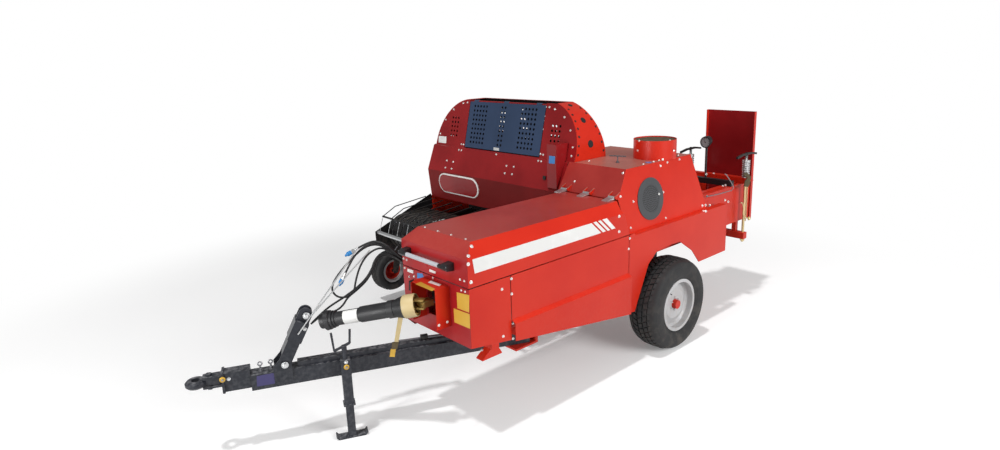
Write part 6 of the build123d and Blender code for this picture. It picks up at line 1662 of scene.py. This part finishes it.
@dataclass
class Openings:
    """Painted shade: dark discs behind the grille and over the band's holes, where the inside shows dark."""

    skin: Skin
    small: float = 0.0105
    near_holes: tuple = (
        (568.6, 109.4), (572.5, 114.8), (575.3, 121.3), (577.9, 128.8), (579.1, 137.0), (578.9, 146.2),
        (578.0, 155.3),
    )
    far_holes: tuple = (
        (580.5, 108.0), (586.2, 113.3), (591.2, 119.1), (595.6, 126.4), (599.5, 133.6), (601.7, 141.7),
        (603.5, 150.3),
    )
    grille: tuple = (650.0, 197.0)
    grille_radius: float = 0.150
    large_holes: tuple = ((583.2, 120.2, 0.026), (590.6, 143.8, 0.031), (570.2, 105.3, 0.020))

    def shade_disc(self, shape: Shape, across: float, down: float, radius: float, aside: float) -> None:
        """One disc of painted shade over a hole of the band.

        Args:
            shape: the mesh.
            across: the hole's place, in pixels from the photograph's left edge.
            down: pixels from its top edge.
            radius: the disc's radius.
            aside: pixels from the hole to the sheet that carries the disc.
        """
        seat = self.skin.pixel(across + aside, down)
        middle = self.skin.on_plane(across, down, seat.spot, seat.normal)
        shape.disc(middle, seat.normal, radius, 0.0, 0.0012, 24)

    def build(self) -> None:
        """Lay all the discs of painted shade."""
        shape = Shape()
        for across, down in self.near_holes:
            self.shade_disc(shape, across, down, self.small, 3.0)
        for across, down in self.far_holes:
            self.shade_disc(shape, across, down, self.small, -3.0)
        for across, down, radius in self.large_holes:
            self.shade_disc(shape, across, down, radius, -4.5)
        shape.build("band_hole_shade", Finish.UNLIT, "frame", "")
        seat = self.skin.pixel(*self.grille)
        middle = at(0.142, 0.0, 1.2345)
        middle.y = seat.spot.y + (seat.spot.z - middle.z) * seat.normal.z / seat.normal.y
        back = Shape()
        back.disc(middle, seat.normal, self.grille_radius, 0.0002, 0.0010, 64)
        back.build("grille_shade", Finish.UNLIT, "frame", "")


# ---------------------------------------------------------------- carried-over nodes

NODES: dict[Finish, str] = {
    Finish.ZINC: "hose_stays hose_bulkhead hose_couplers lid_hinges windguard",
    Finish.HOSE: "hydraulic_hoses",
    Finish.GOLD_ZINC: "chute_chain tension_screws",
    Finish.GREY: "axle_beam tongue_beam front_box towing_eye tongue_arm jack_tube jack_crank jack_leg",
    Finish.GREY_PLASTIC: "side_grille",
    Finish.CAST: "gearbox",
    Finish.BLACK_PLASTIC: "pressure_gauge lid_handle driveline_outer driveline_inner",
    Finish.SLATE: "hood_door",
    Finish.TYRE: "left_tyre right_tyre gauge_tyre",
    Finish.SILVER: "left_rim right_rim",
    Finish.BLACK: "pickup_frame strippers gauge_arm",
    Finish.STEEL: "pickup_reel",
    Finish.BRONZE: "driveline_yoke",
    Finish.RED: "hood_band",
    # Painted shade: the hood's front sheet, the feeder's front and the front cover take darker copies of the
    # red.
    Finish.CRIMSON: "hood_front_sheet feeder_front",
    Finish.MAROON: "front_cover",
}
NODE_FINISH = {node: finish for finish, nodes in NODES.items() for node in nodes.split()}


def dress_nodes() -> None:
    """Give every node that stays visible its finish."""
    for name, node in frame["nodes"].items():
        finish = NODE_FINISH.get(name, Finish.RED)
        node.data.materials.clear()
        node.data.materials.append(finish.material())
        for face in node.data.polygons:
            face.material_index = 0


@dataclass(frozen=True)
class Part:
    """A stretch of a node with a finish of its own."""

    node: str
    finish: Finish
    holds: Callable[[Vector, Vector], bool]


def apart(first: float, second: float) -> float:
    """Distance over two steps square to each other."""
    return Vector((first, second)).length


PARTS = (
    Part("lid_handle", Finish.GRIP, lambda spot, facing: SIDE_Y - 0.535 < spot.y < SIDE_Y - 0.215),
    # Painted shadow: the feeder floor's inside faces go black.
    Part("feeder_floor", Finish.UNLIT, lambda spot, facing: facing.z > 0.5 or facing.x > 0.5),
    Part("fan_cowl", Finish.OLIVE, lambda spot, facing: facing.z > 0.9
         and apart(spot.x - AXLE_X + 0.175, spot.y - SIDE_Y + 0.270) < 0.160),
    # Painted shade and sheen on the lid's and the housing's upward faces.
    Part("plunger_lid", Finish.DECK, lambda spot, facing: facing.z > 0.25 and facing.y < 0.3),
    Part("knotter_housing", Finish.DECK, lambda spot, facing: facing.z > 0.25 and facing.y < 0.3),
    # Painted shade on the chute's and the lid's front faces.
    Part("bale_chute", Finish.CRIMSON, lambda spot, facing: facing.x > 0.5),
    Part("plunger_lid", Finish.MAROON, lambda spot, facing: facing.x > 0.9),
    # Painted sheen, with dust, on the housing's top.
    Part("knotter_housing", Finish.DUSTY, lambda spot, facing: facing.z > 0.9),
    # Painted shade under the feeder's front.
    Part("feeder_front", Finish.UNDER, lambda spot, facing: facing.z < -0.05),
    Part("gearbox", Finish.BRONZE, lambda spot, facing: spot.x > AXLE_X + 2.06),
    # Painted shade on the hood band's inner faces.
    Part("hood_band", Finish.UNLIT, lambda spot, facing:
         (spot.x - AXLE_X - 0.208) * facing.x + (spot.z - 1.62) * facing.z < -0.02),
    Part("gauge_rim", Finish.SILVER, lambda spot, facing:
         apart(spot.x - AXLE_X - 0.959, spot.z - 0.289) > 0.09),
    Part("windguard", Finish.BLACK, lambda spot, facing: spot.x < AXLE_X + 1.09),
    Part("tension_screws", Finish.BLACK, lambda spot, facing: spot.z > 1.362),
    Part("tension_screws", Finish.ZINC, lambda spot, facing: 1.182 < spot.z < 1.362),
)


def dress_parts() -> None:
    """Give stretches of some nodes their own finish."""
    for part in PARTS:
        data = frame["nodes"][part.node].data
        chosen = [face for face in data.polygons if part.holds(face.center, face.normal)]
        if not chosen:
            continue
        data.materials.append(part.finish.material())
        for face in chosen:
            face.material_index = len(data.materials) - 1
        log.info("%s: %d faces in %s", part.node, len(chosen), part.finish.value.name)


def main() -> None:
    """Build every sub-assembly in order."""
    logging.basicConfig(level=logging.INFO, format="%(message)s")
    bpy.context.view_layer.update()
    studio = Studio()
    studio.build()
    Hoses().build()
    skin = Skin(studio)
    dress_nodes()
    dress_parts()
    for side, name in ((1, "left"), (-1, "right")):
        RoadTyre(f"{name}_tyre", f"{name}_wheel", 0.212, 0.116, ROAD_ROWS, 0.034, 46, 0.011).build()
        WheelTrim(f"{name}_rim", f"{name}_hub", f"{name}_wheel", side).build()
    RoadTyre("gauge_tyre", "gauge_wheel", 0.116, 0.055, GAUGE_ROWS, 0.018, 30, 0.006).build()
    fittings = (
        Fasteners(skin), Films(skin), Badge(skin), Driveline(skin), TongueFittings(skin), Dial(),
        DeckLatch(skin), HandleEnds(), RearFittings(skin), HiddenSides(skin), Openings(skin),
    )
    for fitting in fittings:
        fitting.build()


if __name__ == "__main__":
    main()
